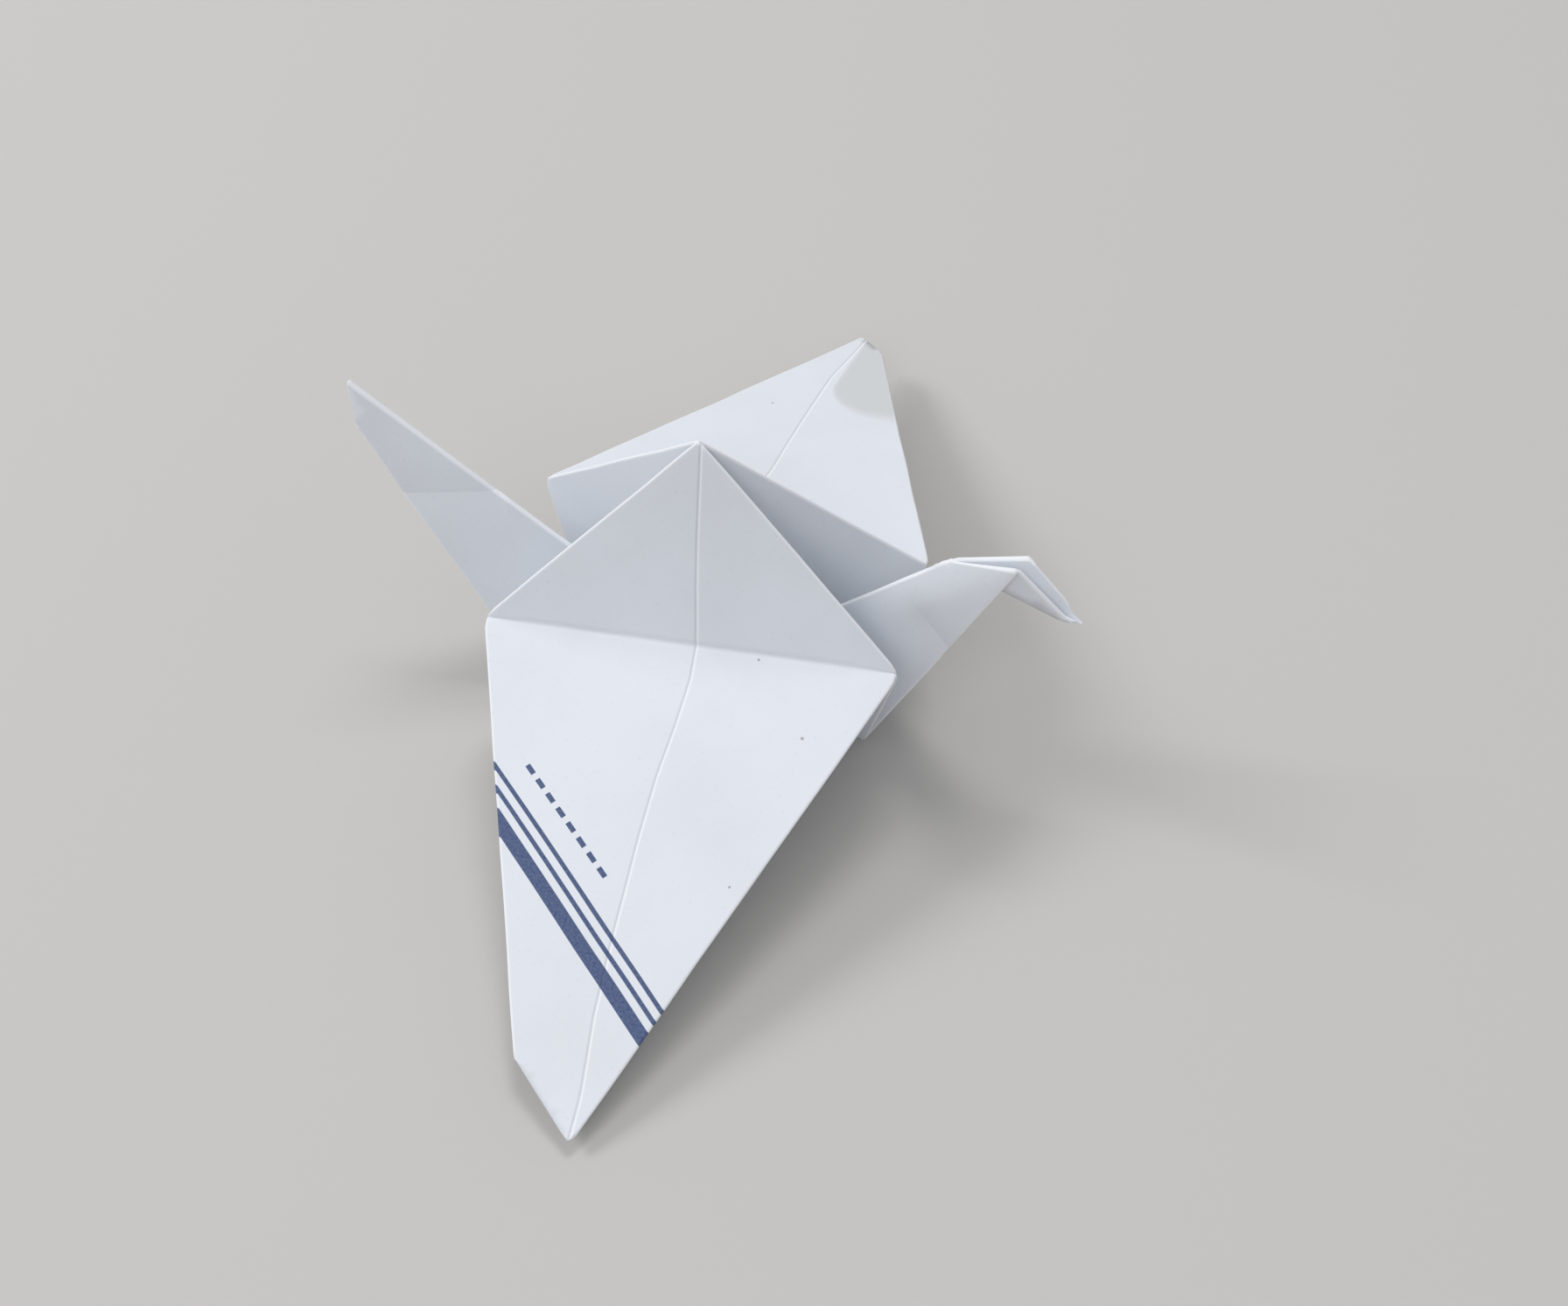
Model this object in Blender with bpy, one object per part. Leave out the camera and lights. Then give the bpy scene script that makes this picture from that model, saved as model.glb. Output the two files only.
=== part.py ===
"""Folded-paper crane: one square sheet of writing paper, modelled fold by fold.

The sheet is drawn flat first, with every fold line of the bird form where the folder
makes it. Each flat facet between fold lines is then placed in space, the facets are
joined by bends of a real radius, and the finished middle surface gets the thickness
of the paper. Metres, +Z up, neck towards +X, the two wings towards -Y and +Y.
"""

import math

import bpy
import numpy as np
from mathutils import Vector
from mathutils.geometry import delaunay_2d_cdt

# Sheet
SHEET_SIDE = 0.108             # side of the square sheet
EDGE_SHORTFALL = 0.0005        # raw edges stop this far short of the lines they fold to
PAPER_THICKNESS = 0.0001

# Bends
LAYER_SPACING = 0.00026        # middle to middle of two layers pressed together
CREASE_REACH = 0.00014         # half the width of paper that turns at a sharp fold
HINGE_REACH = 0.0012           # the wings are curled over, not creased
HINGE_TAPER = 0.0050           # the curl narrows to a crease over this length at its ends
WRAP_ALLOWANCE = 0.0003        # a layer folded round another one runs this much longer
ROOT_CLEARANCE = 0.0013        # margins stand off the fold that turns a leg
BROW_CLEARANCE = 0.0010        # margins stand off the fold that turns the head
MARGIN_STAND_OFF = 0.0002      # raw corners lie this far on their own side of the middle

# Body: slope of each side from the vertical, and its small turns, in degrees
NEAR_SIDE_SLOPE = 21.8
FAR_SIDE_SLOPE = 27.6
NEAR_SIDE_TURN = 3.1
FAR_SIDE_TURN = -3.1
NEAR_SIDE_TILT = -0.3
FAR_SIDE_TILT = 1.4
NEAR_WING_DROOP = 16.8
FAR_WING_DROOP = 13.4

# Neck and tail: depth of the reverse folds below the top of the body, and the
# direction, opening and roll of the folded legs, in degrees
NECK_ROOT_DEPTH = 0.0301
TAIL_ROOT_DEPTH = 0.0303
NECK_RISE = 39.6
NECK_TURN = -2.4
NECK_HALF_OPENING = 9.2
NECK_ROLL = 11.2
TAIL_RISE = 35.6
TAIL_TURN = 2.6
TAIL_HALF_OPENING = 20.2
TAIL_ROLL = 4.7

# Head: a second reverse fold, at this length from the tip of the neck. The neck twists and
# opens towards it, and the end of the beak is bent over. Angles in degrees
HEAD_LENGTH = 0.0156
HEAD_FOLD_ANGLE = 29.8
HEAD_HALF_OPENING = 18.1
HEAD_ROLL = 20.3
BROW_HALF_OPENING = 19.0
BEAK_BEND = 32.0
BEAK_LENGTH = 0.0036
BEAK_BEND_LENGTH = 0.0020

# Raw edge left bare at a tip, where the margin beside it was folded narrower
NEAR_WING_BARE_EDGE = 0.0094
FAR_WING_BARE_EDGE = 0.0040
TAIL_BARE_EDGE = 0.0042
BEAK_BARE_EDGE = 0.0017

# Mesh
CREASE_STEP = 0.0060           # spacing of points along a fold
FIELD_STEP = 0.0070            # spacing of points inside a facet
FIELD_MARGIN = 0.0015          # field points stay this clear of folds and raw edges
CORNER_MARGIN = 0.00012        # fold rows stop this clear of each other at a corner
ROW_SHARES = (-1.0, -0.5, 0.0, 0.5, 1.0)

PAPER_COLOUR = (0.86, 0.88, 0.91, 1.0)
PAPER_ROUGHNESS = 0.75

HALF = SHEET_SIDE / 2 + EDGE_SHORTFALL
DIAGONAL = HALF * math.sqrt(2)
SHOULDER_DISTANCE = DIAGONAL * (math.sqrt(2) - 1)
HINGE_DEPTH = SHOULDER_DISTANCE / math.sqrt(2)
SETTLING_ROUNDS = 200

WINGS = ("near", "far")
LEGS = ("neck", "tail")
WING_AXIS = {"near": np.array((0.0, -1.0)), "far": np.array((0.0, 1.0))}
LEG_AXIS = {"neck": np.array((1.0, 0.0)), "tail": np.array((-1.0, 0.0))}
SIDE_SIGN = {"near": 1.0, "far": -1.0, "neck": 1.0, "tail": -1.0}
BODY_SIDE = {
    "near": (NEAR_SIDE_SLOPE, NEAR_SIDE_TURN, NEAR_SIDE_TILT, NEAR_WING_DROOP),
    "far": (FAR_SIDE_SLOPE, FAR_SIDE_TURN, FAR_SIDE_TILT, FAR_WING_DROOP),
}
LEG_SETTING = {
    "neck": (NECK_RISE, NECK_TURN, NECK_ROLL, NECK_HALF_OPENING, NECK_ROOT_DEPTH),
    "tail": (TAIL_RISE, TAIL_TURN, TAIL_ROLL, TAIL_HALF_OPENING, TAIL_ROOT_DEPTH),
}
BARE_EDGE = {
    ("near", "tail", "wing"): NEAR_WING_BARE_EDGE,
    ("far", "neck", "wing"): FAR_WING_BARE_EDGE,
    ("near", "tail", "leg"): TAIL_BARE_EDGE,
    ("far", "neck", "leg"): BEAK_BARE_EDGE,
}
RAW_CORNERS = {"middle", "heel_raw", "brow_raw", "leg_end", "wing_end", "wing_tip", "leg_tip"}

# Each facet as its corners in order. The two numbers at a corner belong to the side of
# the facet that leaves it: the layer at the start and at the end of that side, in half
# layer spacings towards the outer face of the paper.
BODY_FACET_SHARES = {
    "side": (("top", 1, 1), ("hinge", 1, 1), ("shoulder", 1, 1)),
    "wing": (("shoulder", 1, 1), ("hinge", 1, 1), ("wing_tip", 1, 1), ("wing_end", 1, 1)),
    "wing_margin": (("shoulder", 1, 1), ("wing_end", 1, 0), ("middle", 0, 0)),
    "gusset": (("shoulder", 1, -1), ("heel", -1, -3.5), ("root", -3.5, -1), ("top", 1, 1)),
    "gusset_margin": (("shoulder", 0, 0), ("middle", 0, 1), ("heel_raw", 1, 3), ("heel", 3, 1)),
}
LEG_FACET_SHARES = {
    "tail": {
        "leg": (("root", 1.5, -1), ("heel", -1, 3), ("leg_end", 3, 3), ("leg_tip", 3, 1.5)),
        "leg_margin": (("heel", 3, 1), ("heel_raw", 1, -1), ("leg_end", -1, 3)),
    },
    "neck": {
        "leg": (("root", 1.5, -1), ("heel", -1, 3), ("brow", 3, 3), ("crown", 3, 1.5)),
        "leg_margin": (("heel", 3, 1), ("heel_raw", 1, -1), ("brow_raw", -1, -1),
                       ("brow", -1, 3)),
        "head": (("crown", -1, 3), ("brow", 3, -1), ("leg_end", -1, -1), ("leg_tip", -1, -1)),
        "head_margin": (("brow", -1, -1), ("brow_raw", -1, 3), ("leg_end", 3, -1)),
    },
}
QUARTER_FOLDS = (("top", "shoulder"), ("shoulder", "wing_end"), ("shoulder", "middle"),
                 ("shoulder", "heel"), ("root", "heel"), ("heel", "heel_raw"))
LEG_FOLDS = {
    "neck": (("heel", "brow"), ("crown", "brow"), ("brow", "brow_raw"), ("brow", "leg_end")),
    "tail": (("heel", "leg_end"),),
}
SPINE_FOLDS = {
    "neck": (("top", "root"), ("root", "crown"), ("crown", "leg_tip")),
    "tail": (("top", "root"), ("root", "leg_tip")),
}
WRAPPED_CORNERS = {("gusset_margin", "heel"), ("leg_margin", "heel"), ("leg", "brow"),
                   ("head", "brow")}


def unit(vector):
    """Vector of length one."""
    return vector / np.linalg.norm(vector)


def across(vector, axis):
    """Part of a vector square to an axis, at length one."""
    return unit(vector - (vector @ axis) * axis)


def turned(axis, degrees):
    """Rotation matrix about a coordinate axis, 0 to 2."""
    angle = math.radians(degrees)
    first, second = (axis + 1) % 3, (axis + 2) % 3
    matrix = np.eye(3)
    matrix[first, first] = matrix[second, second] = math.cos(angle)
    matrix[first, second] = -math.sin(angle)
    matrix[second, first] = math.sin(angle)
    return matrix


def crossing(start, direction, through, along):
    """Point where the line from start meets the line through another point."""
    factors = np.linalg.solve(np.column_stack((direction, -along)), through - start)
    return start + factors[0] * direction


def mirrored(point, start, end):
    """Point reflected in the line from start to end."""
    along = unit(end - start)
    return 2 * (start + along * (along @ (point - start))) - point


def flank(wing, across_leg, near, opening):
    """Direction across one half of a leg, from its closed edge outwards."""
    return math.cos(opening) * across_leg + math.sin(opening) * SIDE_SIGN[wing] * near


def named(corner, wing, leg):
    """Full name of a corner in one quarter of the sheet."""
    if corner == "top":
        return corner
    if corner in ("hinge", "wing_tip"):
        return wing + " " + corner
    if corner in ("root", "crown", "leg_tip"):
        return leg + " " + corner
    return wing + " " + leg + " " + corner


class Affine:
    """Map from the flat sheet to space that carries one triangle onto another."""

    def __init__(self, flat, placed):
        self.origin = flat[0]
        self.base = placed[0]
        edges = np.column_stack((flat[1] - flat[0], flat[2] - flat[0]))
        images = np.column_stack((placed[1] - placed[0], placed[2] - placed[0]))
        self.matrix = images @ np.linalg.inv(edges)
        self.normal = unit(np.cross(self.matrix[:, 0], self.matrix[:, 1]))

    def __call__(self, points):
        return self.base + (np.asarray(points) - self.origin) @ self.matrix.T


class Pattern:
    """Named points of the fold pattern, on the flat sheet and in space."""

    def __init__(self):
        self.flat = {"top": np.zeros(2)}
        self.space = {"top": np.zeros(3)}
        self.leg_near = {}
        for wing in WINGS:
            self.place_side(wing)
        for leg in LEGS:
            self.place_leg(leg)
        for wing in WINGS:
            for leg in LEGS:
                self.place_raw_corners(wing, leg)

    def panel(self, names):
        """Map carried by three placed points."""
        return Affine([self.flat[n] for n in names], [self.space[n] for n in names])

    def place_side(self, wing):
        """One side of the body with its wing: hinge, wing tip and two shoulders."""
        slope, turn, tilt, droop = BODY_SIDE[wing]
        frame = turned(2, turn) @ turned(1, tilt)
        slope, droop = math.radians(slope), math.radians(droop)
        outward = -SIDE_SIGN[wing]
        down = frame @ (0.0, outward * math.sin(slope), -math.cos(slope))
        out = frame @ (0.0, outward * math.cos(droop), -math.sin(droop))
        hinge = HINGE_DEPTH * down
        self.flat[wing + " hinge"] = HINGE_DEPTH * WING_AXIS[wing]
        self.space[wing + " hinge"] = hinge
        self.flat[wing + " wing_tip"] = DIAGONAL * WING_AXIS[wing]
        self.space[wing + " wing_tip"] = hinge + HALF * out
        for leg in LEGS:
            midline = unit(WING_AXIS[wing] + LEG_AXIS[leg])
            shoulder = named("shoulder", wing, leg)
            self.flat[shoulder] = SHOULDER_DISTANCE * midline
            self.space[shoulder] = hinge + SIDE_SIGN[leg] * HINGE_DEPTH * frame[:, 0]
            middle = HALF * midline
            self.flat[named("middle", wing, leg)] = middle
            tip = self.flat[wing + " wing_tip"]
            end = tip + BARE_EDGE.get((wing, leg, "wing"), 0.0) * unit(middle - tip)
            wing_map = self.panel((wing + " hinge", wing + " wing_tip", shoulder))
            self.flat[named("wing_end", wing, leg)] = end
            self.space[named("wing_end", wing, leg)] = wing_map(end)

    def body_spine(self, leg):
        """Direction of the closed edge between two gussets, and their half opening."""
        rays = [unit(self.space[named("shoulder", wing, leg)]) for wing in WINGS]
        middle = unit(rays[0] + rays[1])
        sideways = unit(np.cross(rays[0], rays[1]))
        share = math.cos(math.pi / 4) / (middle @ rays[0])
        rest = math.sqrt(1 - share ** 2)
        options = [share * middle + sign * rest * sideways for sign in (1, -1)]
        spine = min(options, key=lambda option: option[2])
        opening = math.acos(across(rays[0], spine) @ across(middle, spine))
        return spine, opening

    def place_leg(self, leg):
        """Neck or tail: the reverse fold that turns it up out of the body."""
        rise, turn, roll, opening, depth = LEG_SETTING[leg]
        rise, turn, roll, opening = (math.radians(a) for a in (rise, turn, roll, opening))
        sign = SIDE_SIGN[leg]
        direction = np.array((sign * math.cos(rise) * math.cos(turn),
                              math.cos(rise) * math.sin(turn), math.sin(rise)))
        near = unit(np.cross((0.0, 0.0, -sign), direction))
        below = sign * np.cross(direction, near)
        self.leg_near[leg] = math.cos(roll) * near + math.sin(roll) * below
        below = math.cos(roll) * below - math.sin(roll) * near
        spine, body_opening = self.body_spine(leg)
        root = depth * spine
        self.flat[leg + " root"] = depth * LEG_AXIS[leg]
        self.space[leg + " root"] = root
        self.flat[leg + " leg_tip"] = DIAGONAL * LEG_AXIS[leg]
        length = DIAGONAL - depth
        mean = (body_opening + opening) / 2
        crease = math.atan(math.tan(math.acos(direction @ spine) / 2) / math.cos(mean))
        self.space[leg + " leg_tip"] = root + length * direction
        for wing in WINGS:
            shoulder = self.space[named("shoulder", wing, leg)]
            body_flank = across(shoulder, spine)
            leg_flank = flank(wing, below, self.leg_near[leg], opening)
            self.place_fold_corner(wing, leg, ("root", "heel", "heel_raw"), crease,
                                   ((spine, body_flank), (direction, leg_flank)))
        if leg == "neck":
            self.place_head(root, direction, below)
        for wing in WINGS:
            self.place_leg_end(wing, leg)

    def place_head(self, root, direction, below):
        """Head: the small reverse fold at the end of the neck, which twists towards it."""
        length = DIAGONAL - HEAD_LENGTH
        crown = root + (length - NECK_ROOT_DEPTH) * direction
        self.flat["neck crown"] = length * LEG_AXIS["neck"]
        self.space["neck crown"] = crown
        crease, roll, brow_opening, opening = (math.radians(a) for a in (
            HEAD_FOLD_ANGLE, HEAD_ROLL, BROW_HALF_OPENING, HEAD_HALF_OPENING))
        near = math.cos(roll) * self.leg_near["neck"] - math.sin(roll) * below
        below = math.cos(roll) * below + math.sin(roll) * self.leg_near["neck"]
        turn = 2 * math.atan(math.tan(crease) * math.cos((opening + brow_opening) / 2))
        onward = math.cos(turn) * direction + math.sin(turn) * below
        above = math.sin(turn) * direction - math.cos(turn) * below
        self.space["neck leg_tip"] = crown + HEAD_LENGTH * onward
        self.beak = (onward, above, crown + (HEAD_LENGTH - BEAK_LENGTH) * onward)
        for wing in WINGS:
            neck_flank = flank(wing, below, near, brow_opening)
            head_flank = flank(wing, above, near, opening)
            self.place_fold_corner(wing, "neck", ("crown", "brow", "brow_raw"), crease,
                                   ((direction, neck_flank), (onward, head_flank)))

    def margin_fold(self, wing, leg):
        """Flat ends of the fold between a leg and its margin."""
        tip = DIAGONAL * LEG_AXIS[leg]
        middle = self.flat[named("middle", wing, leg)]
        bare = BARE_EDGE.get((wing, leg, "leg"), 0.0)
        return self.flat[named("shoulder", wing, leg)], tip + bare * unit(middle - tip)

    def place_fold_corner(self, wing, leg, corners, crease, halves):
        """Corner where a reverse fold meets the fold of the margin."""
        start, corner, raw = (named(c, wing, leg) for c in corners)
        shoulder, end = self.margin_fold(wing, leg)
        origin = self.flat[start]
        ray = math.cos(crease) * LEG_AXIS[leg] + math.sin(crease) * WING_AXIS[wing]
        point = crossing(origin, ray, shoulder, end - shoulder)
        reach = np.linalg.norm(point - origin)
        total = sum(math.cos(crease) * along + math.sin(crease) * flank
                    for along, flank in halves)
        self.flat[corner] = point
        self.space[corner] = self.space[start] + reach * total / len(halves)
        tip = DIAGONAL * LEG_AXIS[leg]
        folded = mirrored(origin, shoulder, end) - point
        self.flat[raw] = crossing(point, folded, tip, self.flat[named("middle", wing, leg)] - tip)

    def place_leg_end(self, wing, leg):
        """Point where the fold of a leg's margin leaves the sheet."""
        corners = ("crown", "brow", "leg_tip") if leg == "neck" else ("root", "heel", "leg_tip")
        end = self.margin_fold(wing, leg)[1]
        self.flat[named("leg_end", wing, leg)] = end
        leg_map = self.panel([named(c, wing, leg) for c in corners])
        self.space[named("leg_end", wing, leg)] = leg_map(end)

    def fold_outward(self, wing, leg, corners):
        """Direction square to a fold that points away from both its facets."""
        start, end, first, second = (self.space[named(c, wing, leg)] for c in corners)
        along = unit(end - start)
        return -unit(across(first - start, along) + across(second - start, along))

    def heel_outward(self, wing, leg):
        """Outward direction of the fold that turns a leg out of the body."""
        after = "crown" if leg == "neck" else "leg_tip"
        return self.fold_outward(wing, leg, ("root", "heel", after, "top"))

    def brow_outward(self, wing, leg):
        """Outward direction of the fold that turns the head."""
        return self.fold_outward(wing, leg, ("crown", "brow", "root", "leg_tip"))

    def place_raw_corners(self, wing, leg):
        """Raw corners of the folded-in margins, which follow the layers they lie on."""
        shoulder, end = self.margin_fold(wing, leg)
        after = "crown" if leg == "neck" else "leg_tip"
        leg_map = self.panel([named(c, wing, leg) for c in ("root", "heel", after)])
        aside = MARGIN_STAND_OFF * SIDE_SIGN[wing] * self.leg_near[leg]
        raw = named("heel_raw", wing, leg)
        self.space[raw] = (leg_map(mirrored(self.flat[raw], shoulder, end)) + aside
                           + ROOT_CLEARANCE * self.heel_outward(wing, leg))
        if leg == "neck":
            raw = named("brow_raw", wing, leg)
            leg_map = self.panel([named(c, wing, leg) for c in ("root", "brow", "crown")])
            self.space[raw] = (leg_map(mirrored(self.flat[raw], shoulder, end)) + aside
                               - BROW_CLEARANCE * self.brow_outward(wing, leg))
        self.settle_middle(wing, leg)

    def settle_middle(self, wing, leg):
        """Middle of a raw side: keeps the paper's lengths to three placed corners."""
        middle = self.flat[named("middle", wing, leg)]
        anchors = [named(c, wing, leg) for c in ("shoulder", "heel_raw", "wing_end")]
        lengths = [np.linalg.norm(self.flat[name] - middle) for name in anchors]
        point = (self.space[wing + " hinge"] + self.space[leg + " root"]) / 2
        for _ in range(SETTLING_ROUNDS):
            steps = []
            for name, length in zip(anchors, lengths):
                away = point - self.space[name]
                steps.append((length / np.linalg.norm(away) - 1) * away)
            point = point + sum(steps) / len(steps)
        self.space[named("middle", wing, leg)] = point


class Facet:
    """One flat triangle of the sheet, its map into space and its layer in the pile."""

    def __init__(self, names, corners, sides, pattern, wing, leg, kind):
        flat = [pattern.flat[name] for name in names]
        edges = np.column_stack((flat[1] - flat[0], flat[2] - flat[0]))
        if np.linalg.det(edges) < 0:
            names, corners = names[::-1], corners[::-1]
        self.flat = [pattern.flat[name] for name in names]
        placed = []
        for name, corner in zip(names, corners):
            point = pattern.space[name]
            if (kind, corner) in WRAPPED_CORNERS:
                outward = (pattern.heel_outward if corner == "heel" else pattern.brow_outward)
                point = point + WRAP_ALLOWANCE * outward(wing, leg)
            placed.append(point)
        self.map = Affine(self.flat, placed)
        self.sides = sides
        self.corners = corners

    def place(self, points):
        """Points of this facet in space, moved to their layer."""
        total = np.zeros(len(points))
        weights = np.zeros(len(points))
        for start, end, first, last in self.sides:
            along = end - start
            share = np.clip((points - start) @ along / (along @ along), 0, 1)
            distance = np.linalg.norm(points - start - share[:, None] * along, axis=1)
            weight = 1 / (distance ** 2 + CREASE_REACH ** 2)
            total += weight * (first + share * (last - first))
            weights += weight
        layer = (total / weights)[:, None] * LAYER_SPACING / 2
        return self.map(points) + layer * self.map.normal

    def weight(self, points):
        """One inside the facet, falling to nothing across the width of each fold."""
        least = np.full(len(points), np.inf)
        for index in range(3):
            after = (index + 1) % 3
            pair = (self.corners[index], self.corners[after])
            if set(pair) <= RAW_CORNERS:
                continue
            start, along = self.flat[index], unit(self.flat[after] - self.flat[index])
            inward = np.array((-along[1], along[0]))
            reach = CREASE_REACH
            if set(pair) == {"hinge", "shoulder"}:
                shoulder = self.flat[index] if pair[0] == "shoulder" else self.flat[after]
                reach = hinge_reach(np.linalg.norm(points - shoulder, axis=1))
            least = np.minimum(least, (points - start) @ inward / reach)
        return np.clip((least + 1) / 2, 0, 1)


def hinge_reach(distance):
    """Half width of a wing's curl at this distance from its end."""
    share = np.clip(distance / HINGE_TAPER, 0, 1)
    return CREASE_REACH + (HINGE_REACH - CREASE_REACH) * share


def list_facets(pattern):
    """All facets of the four quarters, larger ones split into triangles."""
    facets = []
    for wing in WINGS:
        for leg in LEGS:
            for kind, rows in {**BODY_FACET_SHARES, **LEG_FACET_SHARES[leg]}.items():
                corners = [row[0] for row in rows]
                names = [named(corner, wing, leg) for corner in corners]
                sides = []
                for index, row in enumerate(rows):
                    start = pattern.flat[names[index]]
                    end = pattern.flat[names[(index + 1) % len(names)]]
                    if np.any(start != end):
                        sides.append((start, end, row[1], row[2]))
                for index in range(1, len(names) - 1):
                    pick = (0, index, index + 1)
                    chosen = [names[i] for i in pick]
                    if np.any(pattern.flat[chosen[1]] != pattern.flat[chosen[2]]):
                        facets.append(Facet(chosen, [corners[i] for i in pick], sides,
                                            pattern, wing, leg, kind))
    return facets


def place_points(facets, points):
    """Middle surface of the folded sheet at these points of the flat sheet."""
    total = np.zeros((len(points), 3))
    weights = np.zeros(len(points))
    for facet in facets:
        weight = facet.weight(points)
        inside = weight > 0
        total[inside] += weight[inside, None] * facet.place(points[inside])
        weights += weight
    return total / weights[:, None]


def bend_beak(beak, points, surface):
    """Surface with the end of the beak bent over towards its open side."""
    onward, above, start = beak
    beyond = (surface - start) @ onward
    height = (surface - start) @ above
    angle = math.radians(BEAK_BEND)
    radius = BEAK_BEND_LENGTH / angle
    turned_by = np.clip(beyond / radius, 0, angle)
    straight = np.maximum(beyond - BEAK_BEND_LENGTH, 0)
    arm = radius - height
    reach = arm * np.sin(turned_by) + straight * np.cos(turned_by)
    lift = radius - arm * np.cos(turned_by) + straight * np.sin(turned_by)
    moved = (beyond > 0) & (points[:, 0] > DIAGONAL - HEAD_LENGTH)
    shift = np.outer(reach - beyond, onward) + np.outer(lift - height, above)
    return surface + shift * moved[:, None]


def list_folds(pattern):
    """Every fold as its two end names; the wing curls run from shoulder to shoulder."""
    folds = []
    for wing in WINGS:
        folds.append((named("shoulder", wing, "neck"), named("shoulder", wing, "tail")))
        for leg in LEGS:
            for start, end in QUARTER_FOLDS + LEG_FOLDS[leg]:
                folds.append((named(start, wing, leg), named(end, wing, leg)))
    for leg in LEGS:
        for start, end in SPINE_FOLDS[leg]:
            folds.append((named(start, "near", leg), named(end, "near", leg)))
    return folds


def fold_setback(pattern, folds, fold, corner):
    """Length left free at a corner so that the rows of its folds stay apart."""
    if corner.split()[-1] in RAW_CORNERS:
        return 0.0
    other = fold[1] if corner == fold[0] else fold[0]
    along = unit(pattern.flat[other] - pattern.flat[corner])
    most = 0.0
    for start, end in folds:
        if corner not in (start, end) or {start, end} == set(fold):
            continue
        away = unit(pattern.flat[end if corner == start else start] - pattern.flat[corner])
        angle = math.acos(np.clip(along @ away, -1, 1))
        most = max(most, CREASE_REACH / math.tan(angle / 2))
    return most + CORNER_MARGIN


class FlatMesh:
    """Points and constraint lines of the flat sheet, ready to be triangulated."""

    def __init__(self, pattern):
        self.pattern = pattern
        self.folds = list_folds(pattern)
        self.points = []
        self.lines = []
        self.corner_index = {}
        for fold in self.folds:
            self.add_fold(fold)
        self.add_border()
        self.add_field()

    def add(self, point):
        """Index of a new point."""
        self.points.append(point)
        return len(self.points) - 1

    def add_corner(self, name):
        """Index of a corner shared by several folds."""
        if name not in self.corner_index:
            self.corner_index[name] = self.add(self.pattern.flat[name])
        return self.corner_index[name]

    def add_fold(self, fold):
        """Rows of points along one fold, closer than the paper's bend is wide."""
        start, end = (self.pattern.flat[name] for name in fold)
        length = np.linalg.norm(end - start)
        along = (end - start) / length
        inward = np.array((-along[1], along[0]))
        first = fold_setback(self.pattern, self.folds, fold, fold[0])
        last = length - fold_setback(self.pattern, self.folds, fold, fold[1])
        count = max(2, math.ceil((last - first) / CREASE_STEP) + 1)
        curled = all(name.endswith("shoulder") for name in fold)
        rows = []
        for share in ROW_SHARES:
            row = []
            for position in np.linspace(first, last, count):
                reach = CREASE_REACH
                if curled:
                    reach = hinge_reach(min(position, length - position))
                row.append(self.add(start + position * along + share * reach * inward))
            self.lines.extend(zip(row[:-1], row[1:]))
            rows.append(row)
        middle = rows[len(rows) // 2]
        for name, index in ((fold[0], middle[0]), (fold[1], middle[-1])):
            if name.split()[-1] not in RAW_CORNERS:
                self.lines.append((self.add_corner(name), index))

    def add_border(self):
        """Raw edge of the sheet."""
        corner = SHEET_SIDE / math.sqrt(2)
        corners = [corner * np.array(c) for c in ((1, 0), (0, 1), (-1, 0), (0, -1))]
        count = math.ceil(SHEET_SIDE / FIELD_STEP)
        first = len(self.points)
        for index in range(4):
            for step in range(count):
                share = step / count
                self.add(corners[index] * (1 - share) + corners[(index + 1) % 4] * share)
        ring = list(range(first, len(self.points)))
        self.lines.extend(zip(ring, ring[1:] + ring[:1]))

    def add_field(self):
        """Points inside the facets."""
        edge = SHEET_SIDE / math.sqrt(2)
        steps = np.arange(-edge, edge, FIELD_STEP) + FIELD_STEP / 3
        grid = np.array([(x, y) for x in steps for y in steps])
        limit = edge - FIELD_MARGIN * math.sqrt(2)
        grid = grid[np.abs(grid).sum(axis=1) < limit]
        for fold in self.folds:
            start, end = (self.pattern.flat[name] for name in fold)
            along = end - start
            share = np.clip((grid - start) @ along / (along @ along), 0, 1)
            distance = np.linalg.norm(grid - start - share[:, None] * along, axis=1)
            grid = grid[distance > FIELD_MARGIN]
        for point in grid:
            self.add(point)

    def triangulate(self):
        """Points and counter-clockwise triangles of the sheet inside its raw edge."""
        coords = [Vector(point / SHEET_SIDE) for point in self.points]
        result = delaunay_2d_cdt(coords, self.lines, [], 0, 1e-7)
        points = np.array([tuple(point) for point in result[0]]) * SHEET_SIDE
        triangles = np.array([tuple(face) for face in result[2]])
        centres = points[triangles].mean(axis=1)
        triangles = triangles[np.abs(centres).sum(axis=1) < SHEET_SIDE / math.sqrt(2)]
        used, triangles = np.unique(triangles, return_inverse=True)
        triangles = triangles.reshape(-1, 3)
        points = points[used]
        sides = points[triangles[:, 1:]] - points[triangles[:, :1]]
        areas = sides[:, 0, 0] * sides[:, 1, 1] - sides[:, 0, 1] * sides[:, 1, 0]
        triangles[areas < 0] = triangles[areas < 0][:, ::-1]
        return points, triangles


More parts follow.
